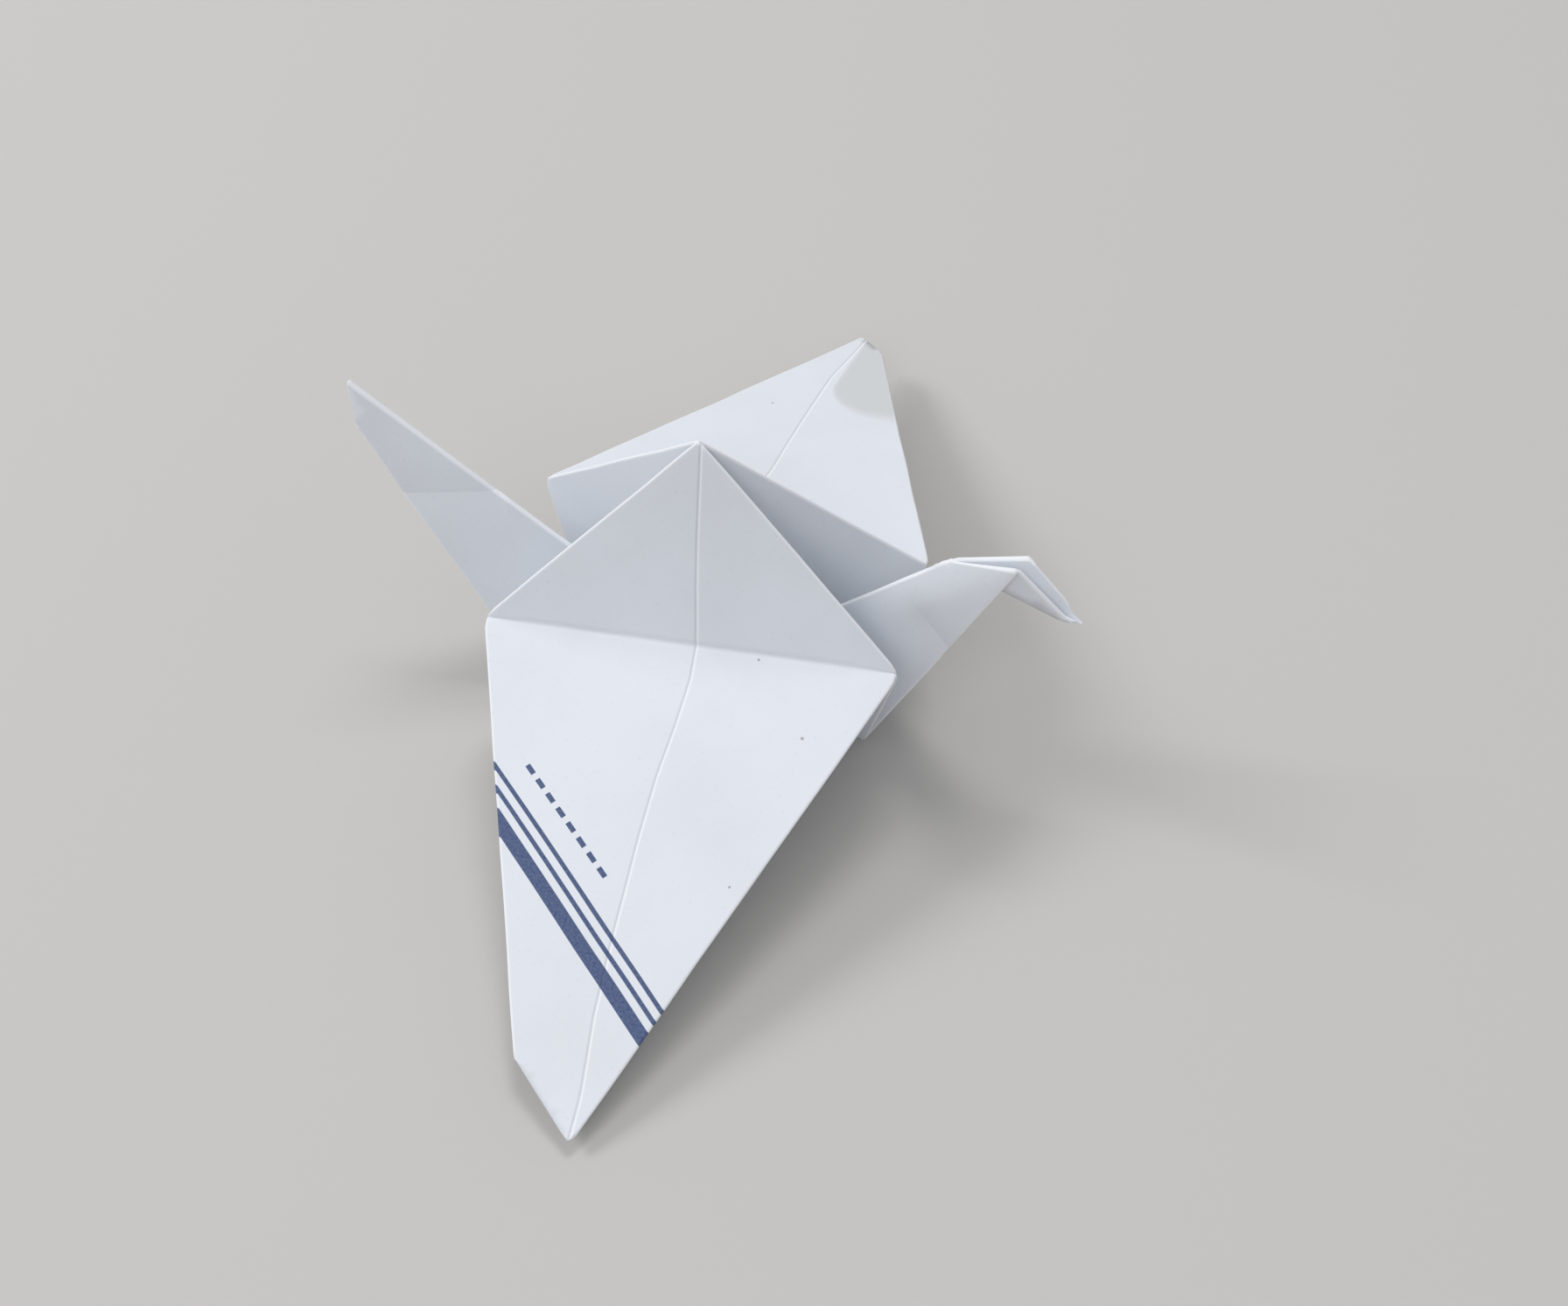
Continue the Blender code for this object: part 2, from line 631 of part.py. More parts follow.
def vertex_normals(points, triangles):
    """Normals averaged over the triangles at each point by their angles."""
    corners = points[triangles]
    normals = np.zeros_like(points)
    face = np.cross(corners[:, 1] - corners[:, 0], corners[:, 2] - corners[:, 0])
    face /= np.linalg.norm(face, axis=1, keepdims=True)
    for index in range(3):
        first = corners[:, (index + 1) % 3] - corners[:, index]
        second = corners[:, (index + 2) % 3] - corners[:, index]
        first /= np.linalg.norm(first, axis=1, keepdims=True)
        second /= np.linalg.norm(second, axis=1, keepdims=True)
        angles = np.arccos(np.clip((first * second).sum(axis=1), -1, 1))
        np.add.at(normals, triangles[:, index], face * angles[:, None])
    return normals / np.linalg.norm(normals, axis=1, keepdims=True)


def rim_edges(triangles):
    """Directed edges that belong to one triangle only."""
    edges = [(int(t[i]), int(t[(i + 1) % 3])) for t in triangles for i in range(3)]
    present = set(edges)
    return [edge for edge in edges if edge[::-1] not in present]


def thicken(points, triangles):
    """Closed shell of the paper's thickness about its middle surface."""
    offset = vertex_normals(points, triangles) * PAPER_THICKNESS / 2
    count = len(points)
    vertices = np.vstack((points + offset, points - offset))
    faces = [tuple(t) for t in triangles]
    faces += [(t[0] + count, t[2] + count, t[1] + count) for t in triangles]
    rim = []
    for start, end in rim_edges(triangles):
        rim.append((end, start, start + count))
        rim.append((end, start + count, end + count))
    return vertices, faces + rim, len(rim)


def paper_material():
    """Plain white writing paper."""
    material = bpy.data.materials.new("paper")
    material.use_nodes = True
    shader = material.node_tree.nodes["Principled BSDF"]
    shader.inputs["Base Color"].default_value = PAPER_COLOUR
    shader.inputs["Roughness"].default_value = PAPER_ROUGHNESS
    shader.inputs["Metallic"].default_value = 0.0
    return material


def main():
    """Build the folded sheet as one closed body standing on the floor."""
    for item in list(bpy.data.objects):
        bpy.data.objects.remove(item, do_unlink=True)
    pattern = Pattern()
    points, triangles = FlatMesh(pattern).triangulate()
    surface = bend_beak(pattern.beak, points, place_points(list_facets(pattern), points))
    vertices, faces, rim_count = thicken(surface, triangles)
    low, high = vertices.min(axis=0), vertices.max(axis=0)
    vertices = vertices - ((low[0] + high[0]) / 2, (low[1] + high[1]) / 2, low[2])
    mesh = bpy.data.meshes.new("folded_sheet")
    mesh.from_pydata(vertices.tolist(), [], [tuple(int(i) for i in face) for face in faces])
    smooth = [True] * (len(faces) - rim_count) + [False] * rim_count
    mesh.polygons.foreach_set("use_smooth", smooth)
    mesh.materials.append(paper_material())
    sheet = bpy.data.objects.new("folded_sheet", mesh)
    bpy.context.scene.collection.objects.link(sheet)


main()
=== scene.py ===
"""Dressed origami crane: the folded sheet with its paper, rules and creases, in a plain studio."""

import logging
import math
from dataclasses import dataclass, field
from enum import Enum

import bpy
import numpy as np
from mathutils import Matrix, Vector
from mathutils.geometry import delaunay_2d_cdt


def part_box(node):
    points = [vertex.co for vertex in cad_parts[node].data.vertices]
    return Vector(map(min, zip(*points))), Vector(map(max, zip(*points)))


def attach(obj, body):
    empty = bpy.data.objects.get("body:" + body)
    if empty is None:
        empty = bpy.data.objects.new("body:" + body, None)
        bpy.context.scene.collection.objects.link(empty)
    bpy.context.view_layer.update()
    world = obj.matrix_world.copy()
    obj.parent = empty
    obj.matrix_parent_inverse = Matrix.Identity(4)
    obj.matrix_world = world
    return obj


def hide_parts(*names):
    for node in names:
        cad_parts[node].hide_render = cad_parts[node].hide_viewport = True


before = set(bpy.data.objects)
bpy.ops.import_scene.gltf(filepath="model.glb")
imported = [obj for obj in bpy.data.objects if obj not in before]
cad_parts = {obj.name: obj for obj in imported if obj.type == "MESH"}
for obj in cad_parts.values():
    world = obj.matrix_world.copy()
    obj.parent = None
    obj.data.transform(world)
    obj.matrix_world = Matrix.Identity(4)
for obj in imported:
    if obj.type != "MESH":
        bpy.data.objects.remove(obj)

LOG = logging.getLogger("crane")


class Wing(Enum):
    """The two wings, named as the camera sees them."""

    NEAR = "near"
    FAR = "far"


class Leg(Enum):
    """The two legs of the bird form that become neck and tail."""

    NECK = "neck"
    TAIL = "tail"


MILLIMETRES = 1000.0
WING_AXIS = {Wing.NEAR: np.array((0.0, -1.0)), Wing.FAR: np.array((0.0, 1.0))}
LEG_AXIS = {Leg.NECK: np.array((1.0, 0.0)), Leg.TAIL: np.array((-1.0, 0.0))}
SIGN = {Wing.NEAR: 1.0, Wing.FAR: -1.0, Leg.NECK: 1.0, Leg.TAIL: -1.0}
# Corners that lie on the raw edge of the sheet.
RAW_CORNERS = {"middle", "heel_raw", "brow_raw", "leg_end", "wing_end", "wing_tip", "leg_tip"}
# Facets whose corner lies outside the others of its pile.
WRAPPED = {("gusset_margin", "heel"), ("leg_margin", "heel"), ("leg", "brow"), ("head", "brow")}
# Each facet's corners in turn, with the layer of the pile at both ends of the side that follows.
BODY_FACETS = {
    "side": (("top", 1, 1), ("hinge", 1, 1), ("shoulder", 1, 1)),
    "wing": (("shoulder", 1, 1), ("hinge", 1, 1), ("wing_tip", 1, 1), ("wing_end", 1, 1)),
    "wing_margin": (("shoulder", 1, 1), ("wing_end", 1, 0), ("middle", 0, 0)),
    "gusset": (("shoulder", 1, -1), ("heel", -1, -3.5), ("root", -3.5, -1), ("top", 1, 1)),
    "gusset_margin": (("shoulder", 0, 0), ("middle", 0, 1), ("heel_raw", 1, 3), ("heel", 3, 1)),
}
LEG_FACETS = {
    Leg.TAIL: {
        "leg": (("root", 1.5, -1), ("heel", -1, 3), ("leg_end", 3, 3), ("leg_tip", 3, 1.5)),
        "leg_margin": (("heel", 3, 1), ("heel_raw", 1, -1), ("leg_end", -1, 3)),
    },
    Leg.NECK: {
        "leg": (("root", 1.5, -1), ("heel", -1, 3), ("brow", 3, 3), ("crown", 3, 1.5)),
        "leg_margin": (("heel", 3, 1), ("heel_raw", 1, -1), ("brow_raw", -1, -1),
                       ("brow", -1, 3)),
        "head": (("crown", -1, 3), ("brow", 3, -1), ("leg_end", -1, -1), ("leg_tip", -1, -1)),
        "head_margin": (("brow", -1, -1), ("brow_raw", -1, 3), ("leg_end", 3, -1)),
    },
}
# Folds by the names of their two ends.
QUARTER_FOLDS = (("top", "shoulder"), ("shoulder", "wing_end"), ("shoulder", "middle"),
                 ("shoulder", "heel"), ("root", "heel"), ("heel", "heel_raw"))
LEG_FOLDS = {
    Leg.NECK: (("heel", "brow"), ("crown", "brow"), ("brow", "brow_raw"), ("brow", "leg_end")),
    Leg.TAIL: (("heel", "leg_end"),),
}
SPINE_FOLDS = {
    Leg.NECK: (("top", "root"), ("root", "crown"), ("crown", "leg_tip")),
    Leg.TAIL: (("top", "root"), ("root", "leg_tip")),
}


def unit(vector: np.ndarray) -> np.ndarray:
    """Vector of length one."""
    return vector / np.linalg.norm(vector)


def across(vector: np.ndarray, axis: np.ndarray) -> np.ndarray:
    """Part of a vector square to an axis, at length one."""
    return unit(vector - (vector @ axis) * axis)


def turned(axis: int, degrees: float) -> np.ndarray:
    """Rotation matrix about a coordinate axis.

    Args:
        axis: Number of the axis, 0 to 2.
        degrees: Angle of the turn.

    Returns:
        The matrix.
    """
    angle = math.radians(degrees)
    first, second = (axis + 1) % 3, (axis + 2) % 3
    matrix = np.eye(3)
    matrix[first, first] = matrix[second, second] = math.cos(angle)
    matrix[first, second] = -math.sin(angle)
    matrix[second, first] = math.sin(angle)
    return matrix


def crossing(start: np.ndarray, direction: np.ndarray, through: np.ndarray,
             along: np.ndarray) -> np.ndarray:
    """Point where the line from start meets the line through another point."""
    factors = np.linalg.solve(np.column_stack((direction, -along)), through - start)
    return start + factors[0] * direction


def mirrored(point: np.ndarray, start: np.ndarray, end: np.ndarray) -> np.ndarray:
    """Point reflected in the line from start to end."""
    along = unit(end - start)
    return 2 * (start + along * (along @ (point - start))) - point


def flank(wing: Wing, across_leg: np.ndarray, near: np.ndarray, opening: float) -> np.ndarray:
    """Direction across one half of a leg, from its closed edge outwards."""
    return math.cos(opening) * across_leg + math.sin(opening) * SIGN[wing] * near


def named(corner: str, wing: Wing, leg: Leg) -> str:
    """Full name of a corner, which quarters of the sheet may share.

    Args:
        corner: The corner's own name.
        wing: The quarter's wing.
        leg: The quarter's leg.

    Returns:
        The name under which the corner is kept.
    """
    if corner == "top":
        return corner
    if corner in ("hinge", "wing_tip"):
        return f"{wing.value} {corner}"
    if corner in ("root", "crown", "leg_tip"):
        return f"{leg.value} {corner}"
    return f"{wing.value} {leg.value} {corner}"


def distance_to(points: np.ndarray, start: np.ndarray, end: np.ndarray) -> np.ndarray:
    """Distance of flat points from a line between two points.

    Args:
        points: The points.
        start: One end of the line.
        end: Its other end.

    Returns:
        One distance for each point.
    """
    along = end - start
    share = np.clip((points - start) @ along / (along @ along), 0, 1)
    return np.linalg.norm(points - start - share[:, None] * along, axis=1)


@dataclass(frozen=True)
class SheetSizes:
    """Sizes of the paper and of its bends, in metres."""

    side: float = 0.108
    shortfall: float = 0.0005
    thickness: float = 0.0001
    spacing: float = 0.00026
    reach: float = 0.00014
    curl: float = 0.0006
    curl_taper: float = 0.0050
    corner_press: float = 0.0004
    corner_reach: float = 0.0018
    wrap: float = 0.0003
    root_clearance: float = 0.0013
    brow_clearance: float = 0.0010
    stand_off: float = 0.0002

    @property
    def half(self) -> float:
        """Half the side of the square on which the folds are laid out."""
        return self.side / 2 + self.shortfall

    @property
    def diagonal(self) -> float:
        """Middle of that square to its corner."""
        return self.half * math.sqrt(2)

    @property
    def hinge_depth(self) -> float:
        """Middle of the sheet to a wing's hinge."""
        return self.diagonal * (math.sqrt(2) - 1) / math.sqrt(2)

    def curl_reach(self, distance: np.ndarray) -> np.ndarray:
        """Half width of a wing's curl at this distance from its end."""
        share = np.clip(distance / self.curl_taper, 0, 1)
        return self.reach + (self.curl - self.reach) * share


@dataclass(frozen=True)
class BodySide:
    """One side of the body and its wing, in degrees."""

    slope: float
    turn: float
    tilt: float
    droop: float


@dataclass(frozen=True)
class LegSetting:
    """A leg turned out of the body by a reverse fold, in degrees and metres."""

    rise: float
    turn: float
    roll: float
    opening: float
    root_depth: float


@dataclass(frozen=True)
class HeadSetting:
    """The small reverse fold at the end of the neck, in metres and degrees."""

    length: float = 0.0156
    fold_angle: float = 29.8
    opening: float = 18.1
    roll: float = 20.3
    brow_opening: float = 19.0
    beak_bend: float = 32.0
    beak_length: float = 0.0036
    bend_length: float = 0.0020


class Affine:
    """Map from the flat sheet to space that carries one triangle onto another."""

    def __init__(self, flat: list[np.ndarray], placed: list[np.ndarray]) -> None:
        """Solve the map for three pairs of points.

        Args:
            flat: Corners on the flat sheet.
            placed: The same corners in space.
        """
        self.origin = flat[0]
        self.base = placed[0]
        edges = np.column_stack((flat[1] - flat[0], flat[2] - flat[0]))
        images = np.column_stack((placed[1] - placed[0], placed[2] - placed[0]))
        self.matrix = images @ np.linalg.inv(edges)
        self.normal = unit(np.cross(self.matrix[:, 0], self.matrix[:, 1]))

    def __call__(self, points: np.ndarray) -> np.ndarray:
        """Points of the flat sheet in space."""
        return self.base + (np.asarray(points) - self.origin) @ self.matrix.T


@dataclass
class FoldPattern:
    """Named points of the crane's fold pattern, on the flat sheet and in space."""

    sizes: SheetSizes = field(default_factory=SheetSizes)
    sides: dict[Wing, BodySide] = field(default_factory=lambda: {
        Wing.NEAR: BodySide(slope=21.8, turn=3.1, tilt=-0.3, droop=16.8),
        Wing.FAR: BodySide(slope=27.6, turn=-3.1, tilt=1.4, droop=13.4),
    })
    legs: dict[Leg, LegSetting] = field(default_factory=lambda: {
        Leg.NECK: LegSetting(rise=39.6, turn=-2.4, roll=11.2, opening=9.2, root_depth=0.0301),
        Leg.TAIL: LegSetting(rise=35.6, turn=2.6, roll=4.7, opening=20.2, root_depth=0.0303),
    })
    head: HeadSetting = field(default_factory=HeadSetting)
    bare: dict[tuple, float] = field(default_factory=lambda: {
        (Wing.NEAR, Leg.TAIL, "wing"): 0.0094,
        (Wing.FAR, Leg.NECK, "wing"): 0.0040,
        (Wing.NEAR, Leg.TAIL, "leg"): 0.0042,
        (Wing.FAR, Leg.NECK, "leg"): 0.0017,
    })

    def __post_init__(self) -> None:
        """Place every point, from the body outwards."""
        self.flat: dict[str, np.ndarray] = {"top": np.zeros(2)}
        self.space: dict[str, np.ndarray] = {"top": np.zeros(3)}
        self.leg_near: dict[Leg, np.ndarray] = {}
        for wing in Wing:
            self.place_side(wing)
        for leg in Leg:
            self.place_leg(leg)
        for wing in Wing:
            for leg in Leg:
                self.place_raw_corners(wing, leg)

    def panel(self, names: list[str]) -> Affine:
        """Map carried by three placed points."""
        return Affine([self.flat[n] for n in names], [self.space[n] for n in names])

    def place_side(self, wing: Wing) -> None:
        """Place one side of the body with its wing.

        Args:
            wing: The side to place.
        """
        side, depth = self.sides[wing], self.sizes.hinge_depth
        turn = turned(2, side.turn) @ turned(1, side.tilt)
        slope, droop = math.radians(side.slope), math.radians(side.droop)
        outward = -SIGN[wing]
        hinge = depth * (turn @ (0.0, outward * math.sin(slope), -math.cos(slope)))
        out = turn @ (0.0, outward * math.cos(droop), -math.sin(droop))
        hinge_name, tip_name = f"{wing.value} hinge", f"{wing.value} wing_tip"
        self.flat[hinge_name] = depth * WING_AXIS[wing]
        self.space[hinge_name] = hinge
        self.flat[tip_name] = self.sizes.diagonal * WING_AXIS[wing]
        self.space[tip_name] = hinge + self.sizes.half * out
        for leg in Leg:
            midline = unit(WING_AXIS[wing] + LEG_AXIS[leg])
            shoulder, end_name = named("shoulder", wing, leg), named("wing_end", wing, leg)
            self.flat[shoulder] = depth * math.sqrt(2) * midline
            self.space[shoulder] = hinge + SIGN[leg] * depth * turn[:, 0]
            middle = self.sizes.half * midline
            self.flat[named("middle", wing, leg)] = middle
            tip = self.flat[tip_name]
            end = tip + self.bare.get((wing, leg, "wing"), 0.0) * unit(middle - tip)
            self.flat[end_name] = end
            self.space[end_name] = self.panel([hinge_name, tip_name, shoulder])(end)

    def body_spine(self, leg: Leg) -> tuple[np.ndarray, float]:
        """Find the closed edge between two gussets.

        Args:
            leg: The end of the body.

        Returns:
            The edge's direction, and the gussets' half opening.
        """
        rays = [unit(self.space[named("shoulder", wing, leg)]) for wing in Wing]
        middle = unit(rays[0] + rays[1])
        sideways = unit(np.cross(rays[0], rays[1]))
        share = math.cos(math.pi / 4) / (middle @ rays[0])
        rest = math.sqrt(1 - share ** 2)
        options = [share * middle + sign * rest * sideways for sign in (1, -1)]
        spine = min(options, key=lambda option: option[2])
        return spine, math.acos(across(rays[0], spine) @ across(middle, spine))

    def place_leg(self, leg: Leg) -> None:
        """Place neck or tail with the reverse fold that turns it out of the body.

        Args:
            leg: The leg to place.
        """
        setting = self.legs[leg]
        rise, turn, roll, opening = (math.radians(angle) for angle in (
            setting.rise, setting.turn, setting.roll, setting.opening))
        sign = SIGN[leg]
        direction = np.array((sign * math.cos(rise) * math.cos(turn),
                              math.cos(rise) * math.sin(turn), math.sin(rise)))
        near = unit(np.cross((0.0, 0.0, -sign), direction))
        below = sign * np.cross(direction, near)
        self.leg_near[leg] = math.cos(roll) * near + math.sin(roll) * below
        below = math.cos(roll) * below - math.sin(roll) * near
        spine, body_opening = self.body_spine(leg)
        root = setting.root_depth * spine
        self.flat[f"{leg.value} root"] = setting.root_depth * LEG_AXIS[leg]
        self.space[f"{leg.value} root"] = root
        self.flat[f"{leg.value} leg_tip"] = self.sizes.diagonal * LEG_AXIS[leg]
        length = self.sizes.diagonal - setting.root_depth
        mean = (body_opening + opening) / 2
        crease = math.atan(math.tan(math.acos(direction @ spine) / 2) / math.cos(mean))
        self.space[f"{leg.value} leg_tip"] = root + length * direction
        for wing in Wing:
            shoulder = self.space[named("shoulder", wing, leg)]
            halves = ((spine, across(shoulder, spine)),
                      (direction, flank(wing, below, self.leg_near[leg], opening)))
            self.place_fold_corner(wing, leg, ("root", "heel", "heel_raw"), crease, halves)
        if leg is Leg.NECK:
            self.place_head(root, direction, below)
        for wing in Wing:
            self.place_leg_end(wing, leg)

    def place_head(self, root: np.ndarray, direction: np.ndarray, below: np.ndarray) -> None:
        """Place the head at the end of the neck, which twists and opens towards it.

        Args:
            root: Foot of the neck's closed edge.
            direction: Way the neck runs.
            below: Way the neck opens at its foot.
        """
        head = self.head
        length = self.sizes.diagonal - head.length
        crown = root + (length - self.legs[Leg.NECK].root_depth) * direction
        self.flat["neck crown"] = length * LEG_AXIS[Leg.NECK]
        self.space["neck crown"] = crown
        crease, roll, brow_opening, opening = (math.radians(angle) for angle in (
            head.fold_angle, head.roll, head.brow_opening, head.opening))
        near = math.cos(roll) * self.leg_near[Leg.NECK] - math.sin(roll) * below
        below = math.cos(roll) * below + math.sin(roll) * self.leg_near[Leg.NECK]
        turn = 2 * math.atan(math.tan(crease) * math.cos((opening + brow_opening) / 2))
        onward = math.cos(turn) * direction + math.sin(turn) * below
        above = math.sin(turn) * direction - math.cos(turn) * below
        self.space["neck leg_tip"] = crown + head.length * onward
        self.beak = (onward, above, crown + (head.length - head.beak_length) * onward)
        for wing in Wing:
            halves = ((direction, flank(wing, below, near, brow_opening)),
                      (onward, flank(wing, above, near, opening)))
            self.place_fold_corner(wing, Leg.NECK, ("crown", "brow", "brow_raw"), crease, halves)

    def bend_beak(self, points: np.ndarray, surface: np.ndarray) -> np.ndarray:
        """Bend the end of the beak over towards its open side.

        Args:
            points: Points of the flat sheet.
            surface: The same points in space.

        Returns:
            The bent surface.
        """
        onward, above, start = self.beak
        beyond, height = (surface - start) @ onward, (surface - start) @ above
        angle = math.radians(self.head.beak_bend)
        radius = self.head.bend_length / angle
        turned_by = np.clip(beyond / radius, 0, angle)
        straight = np.maximum(beyond - self.head.bend_length, 0)
        arm = radius - height
        reach = arm * np.sin(turned_by) + straight * np.cos(turned_by)
        lift = radius - arm * np.cos(turned_by) + straight * np.sin(turned_by)
        moved = (beyond > 0) & (points[:, 0] > self.sizes.diagonal - self.head.length)
        shift = np.outer(reach - beyond, onward) + np.outer(lift - height, above)
        return surface + shift * moved[:, None]

    def press_corners(self, points: np.ndarray, surface: np.ndarray) -> np.ndarray:
        """Press in the four corners of the body, which are rounded on real paper.

        Args:
            points: Points of the flat sheet.
            surface: The same points in space.

        Returns:
            The surface with its corners pressed in.
        """
        for wing in Wing:
            for leg in Leg:
                corner = named("shoulder", wing, leg)
                inward = unit(self.space[f"{wing.value} hinge"] - self.space[corner])
                away = np.linalg.norm(points - self.flat[corner], axis=1)
                share = np.clip(1 - away / self.sizes.corner_reach, 0, 1) ** 2
                surface = surface + np.outer(share * self.sizes.corner_press, inward)
        return surface

    def margin_fold(self, wing: Wing, leg: Leg) -> tuple[np.ndarray, np.ndarray]:
        """Find the flat ends of the fold between a leg and its margin.

        Args:
            wing: Side of the leg.
            leg: The leg.

        Returns:
            The shoulder, and the point where the fold leaves the sheet.
        """
        tip = self.sizes.diagonal * LEG_AXIS[leg]
        middle = self.flat[named("middle", wing, leg)]
        end = tip + self.bare.get((wing, leg, "leg"), 0.0) * unit(middle - tip)
        return self.flat[named("shoulder", wing, leg)], end

    def place_fold_corner(self, wing: Wing, leg: Leg, corners: tuple, crease: float,
                          halves: tuple) -> None:
        """Place the corner where a reverse fold meets the fold of the margin.

        Args:
            wing: Side of the leg.
            leg: The leg.
            corners: Names of the fold's start, its corner and the raw end beyond.
            crease: Angle of the fold to the closed edge, in radians.
            halves: Direction and flank on each side of the fold.
        """
        start, corner, raw = (named(c, wing, leg) for c in corners)
        shoulder, end = self.margin_fold(wing, leg)
        origin = self.flat[start]
        ray = math.cos(crease) * LEG_AXIS[leg] + math.sin(crease) * WING_AXIS[wing]
        point = crossing(origin, ray, shoulder, end - shoulder)
        reach = np.linalg.norm(point - origin)
        total = sum(math.cos(crease) * along + math.sin(crease) * flank
                    for along, flank in halves)
        self.flat[corner] = point
        self.space[corner] = self.space[start] + reach * total / len(halves)
        tip = self.sizes.diagonal * LEG_AXIS[leg]
        middle = self.flat[named("middle", wing, leg)]
        folded = mirrored(origin, shoulder, end) - point
        self.flat[raw] = crossing(point, folded, tip, middle - tip)

    def place_leg_end(self, wing: Wing, leg: Leg) -> None:
        """Place the point where the fold of a leg's margin leaves the sheet.

        Args:
            wing: Side of the leg.
            leg: The leg.
        """
        inner = ("crown", "brow") if leg is Leg.NECK else ("root", "heel")
        end, name = self.margin_fold(wing, leg)[1], named("leg_end", wing, leg)
        self.flat[name] = end
        self.space[name] = self.panel([named(c, wing, leg) for c in (*inner, "leg_tip")])(end)

    def fold_outward(self, wing: Wing, leg: Leg, corners: tuple) -> np.ndarray:
        """Direction square to a fold that points away from both its facets.

        Args:
            wing: Side of the leg.
            leg: The leg.
            corners: The fold's two ends, then a corner of each facet.

        Returns:
            The direction.
        """
        start, end, first, second = (self.space[named(c, wing, leg)] for c in corners)
        along = unit(end - start)
        return -unit(across(first - start, along) + across(second - start, along))

    def heel_outward(self, wing: Wing, leg: Leg) -> np.ndarray:
        """Outward direction of the fold that turns a leg out of the body."""
        after = "crown" if leg is Leg.NECK else "leg_tip"
        return self.fold_outward(wing, leg, ("root", "heel", after, "top"))

    def brow_outward(self, wing: Wing, leg: Leg) -> np.ndarray:
        """Outward direction of the fold that turns the head."""
        return self.fold_outward(wing, leg, ("crown", "brow", "root", "leg_tip"))

    def place_raw_corners(self, wing: Wing, leg: Leg) -> None:
        """Place the raw corners of the margins, which follow the layers they lie on.

        Args:
            wing: Side of the body.
            leg: End of the body.
        """
        shoulder, end = self.margin_fold(wing, leg)
        after = "crown" if leg is Leg.NECK else "leg_tip"
        leg_map = self.panel([named(c, wing, leg) for c in ("root", "heel", after)])
        aside = self.sizes.stand_off * SIGN[wing] * self.leg_near[leg]
        raw = named("heel_raw", wing, leg)
        self.space[raw] = (leg_map(mirrored(self.flat[raw], shoulder, end)) + aside
                           + self.sizes.root_clearance * self.heel_outward(wing, leg))
        if leg is Leg.NECK:
            raw = named("brow_raw", wing, leg)
            leg_map = self.panel([named(c, wing, leg) for c in ("root", "brow", "crown")])
            self.space[raw] = (leg_map(mirrored(self.flat[raw], shoulder, end)) + aside
                               - self.sizes.brow_clearance * self.brow_outward(wing, leg))
        self.settle_middle(wing, leg)

    def settle_middle(self, wing: Wing, leg: Leg, rounds: int = 200) -> None:
        """Settle the middle of a raw side, keeping the paper's lengths to three corners.

        Args:
            wing: Side of the body.
            leg: End of the body.
            rounds: How often the point is drawn to its three lengths.
        """
        middle = self.flat[named("middle", wing, leg)]
        anchors = [named(c, wing, leg) for c in ("shoulder", "heel_raw", "wing_end")]
        lengths = [np.linalg.norm(self.flat[name] - middle) for name in anchors]
        point = (self.space[f"{wing.value} hinge"] + self.space[f"{leg.value} root"]) / 2
        for _ in range(rounds):
            steps = []
            for name, length in zip(anchors, lengths):
                away = point - self.space[name]
                steps.append((length / np.linalg.norm(away) - 1) * away)
            point = point + sum(steps) / len(steps)
        self.space[named("middle", wing, leg)] = point

    def folds(self) -> list[tuple[str, str]]:
        """List every fold.

        Returns:
            The names of each fold's ends; a wing's root runs from shoulder to shoulder.
        """
        folds = []
        for wing in Wing:
            folds.append((named("shoulder", wing, Leg.NECK), named("shoulder", wing, Leg.TAIL)))
            for leg in Leg:
                for start, end in QUARTER_FOLDS + LEG_FOLDS[leg]:
                    folds.append((named(start, wing, leg), named(end, wing, leg)))
        for leg in Leg:
            for start, end in SPINE_FOLDS[leg]:
                folds.append((named(start, Wing.NEAR, leg), named(end, Wing.NEAR, leg)))
        return folds


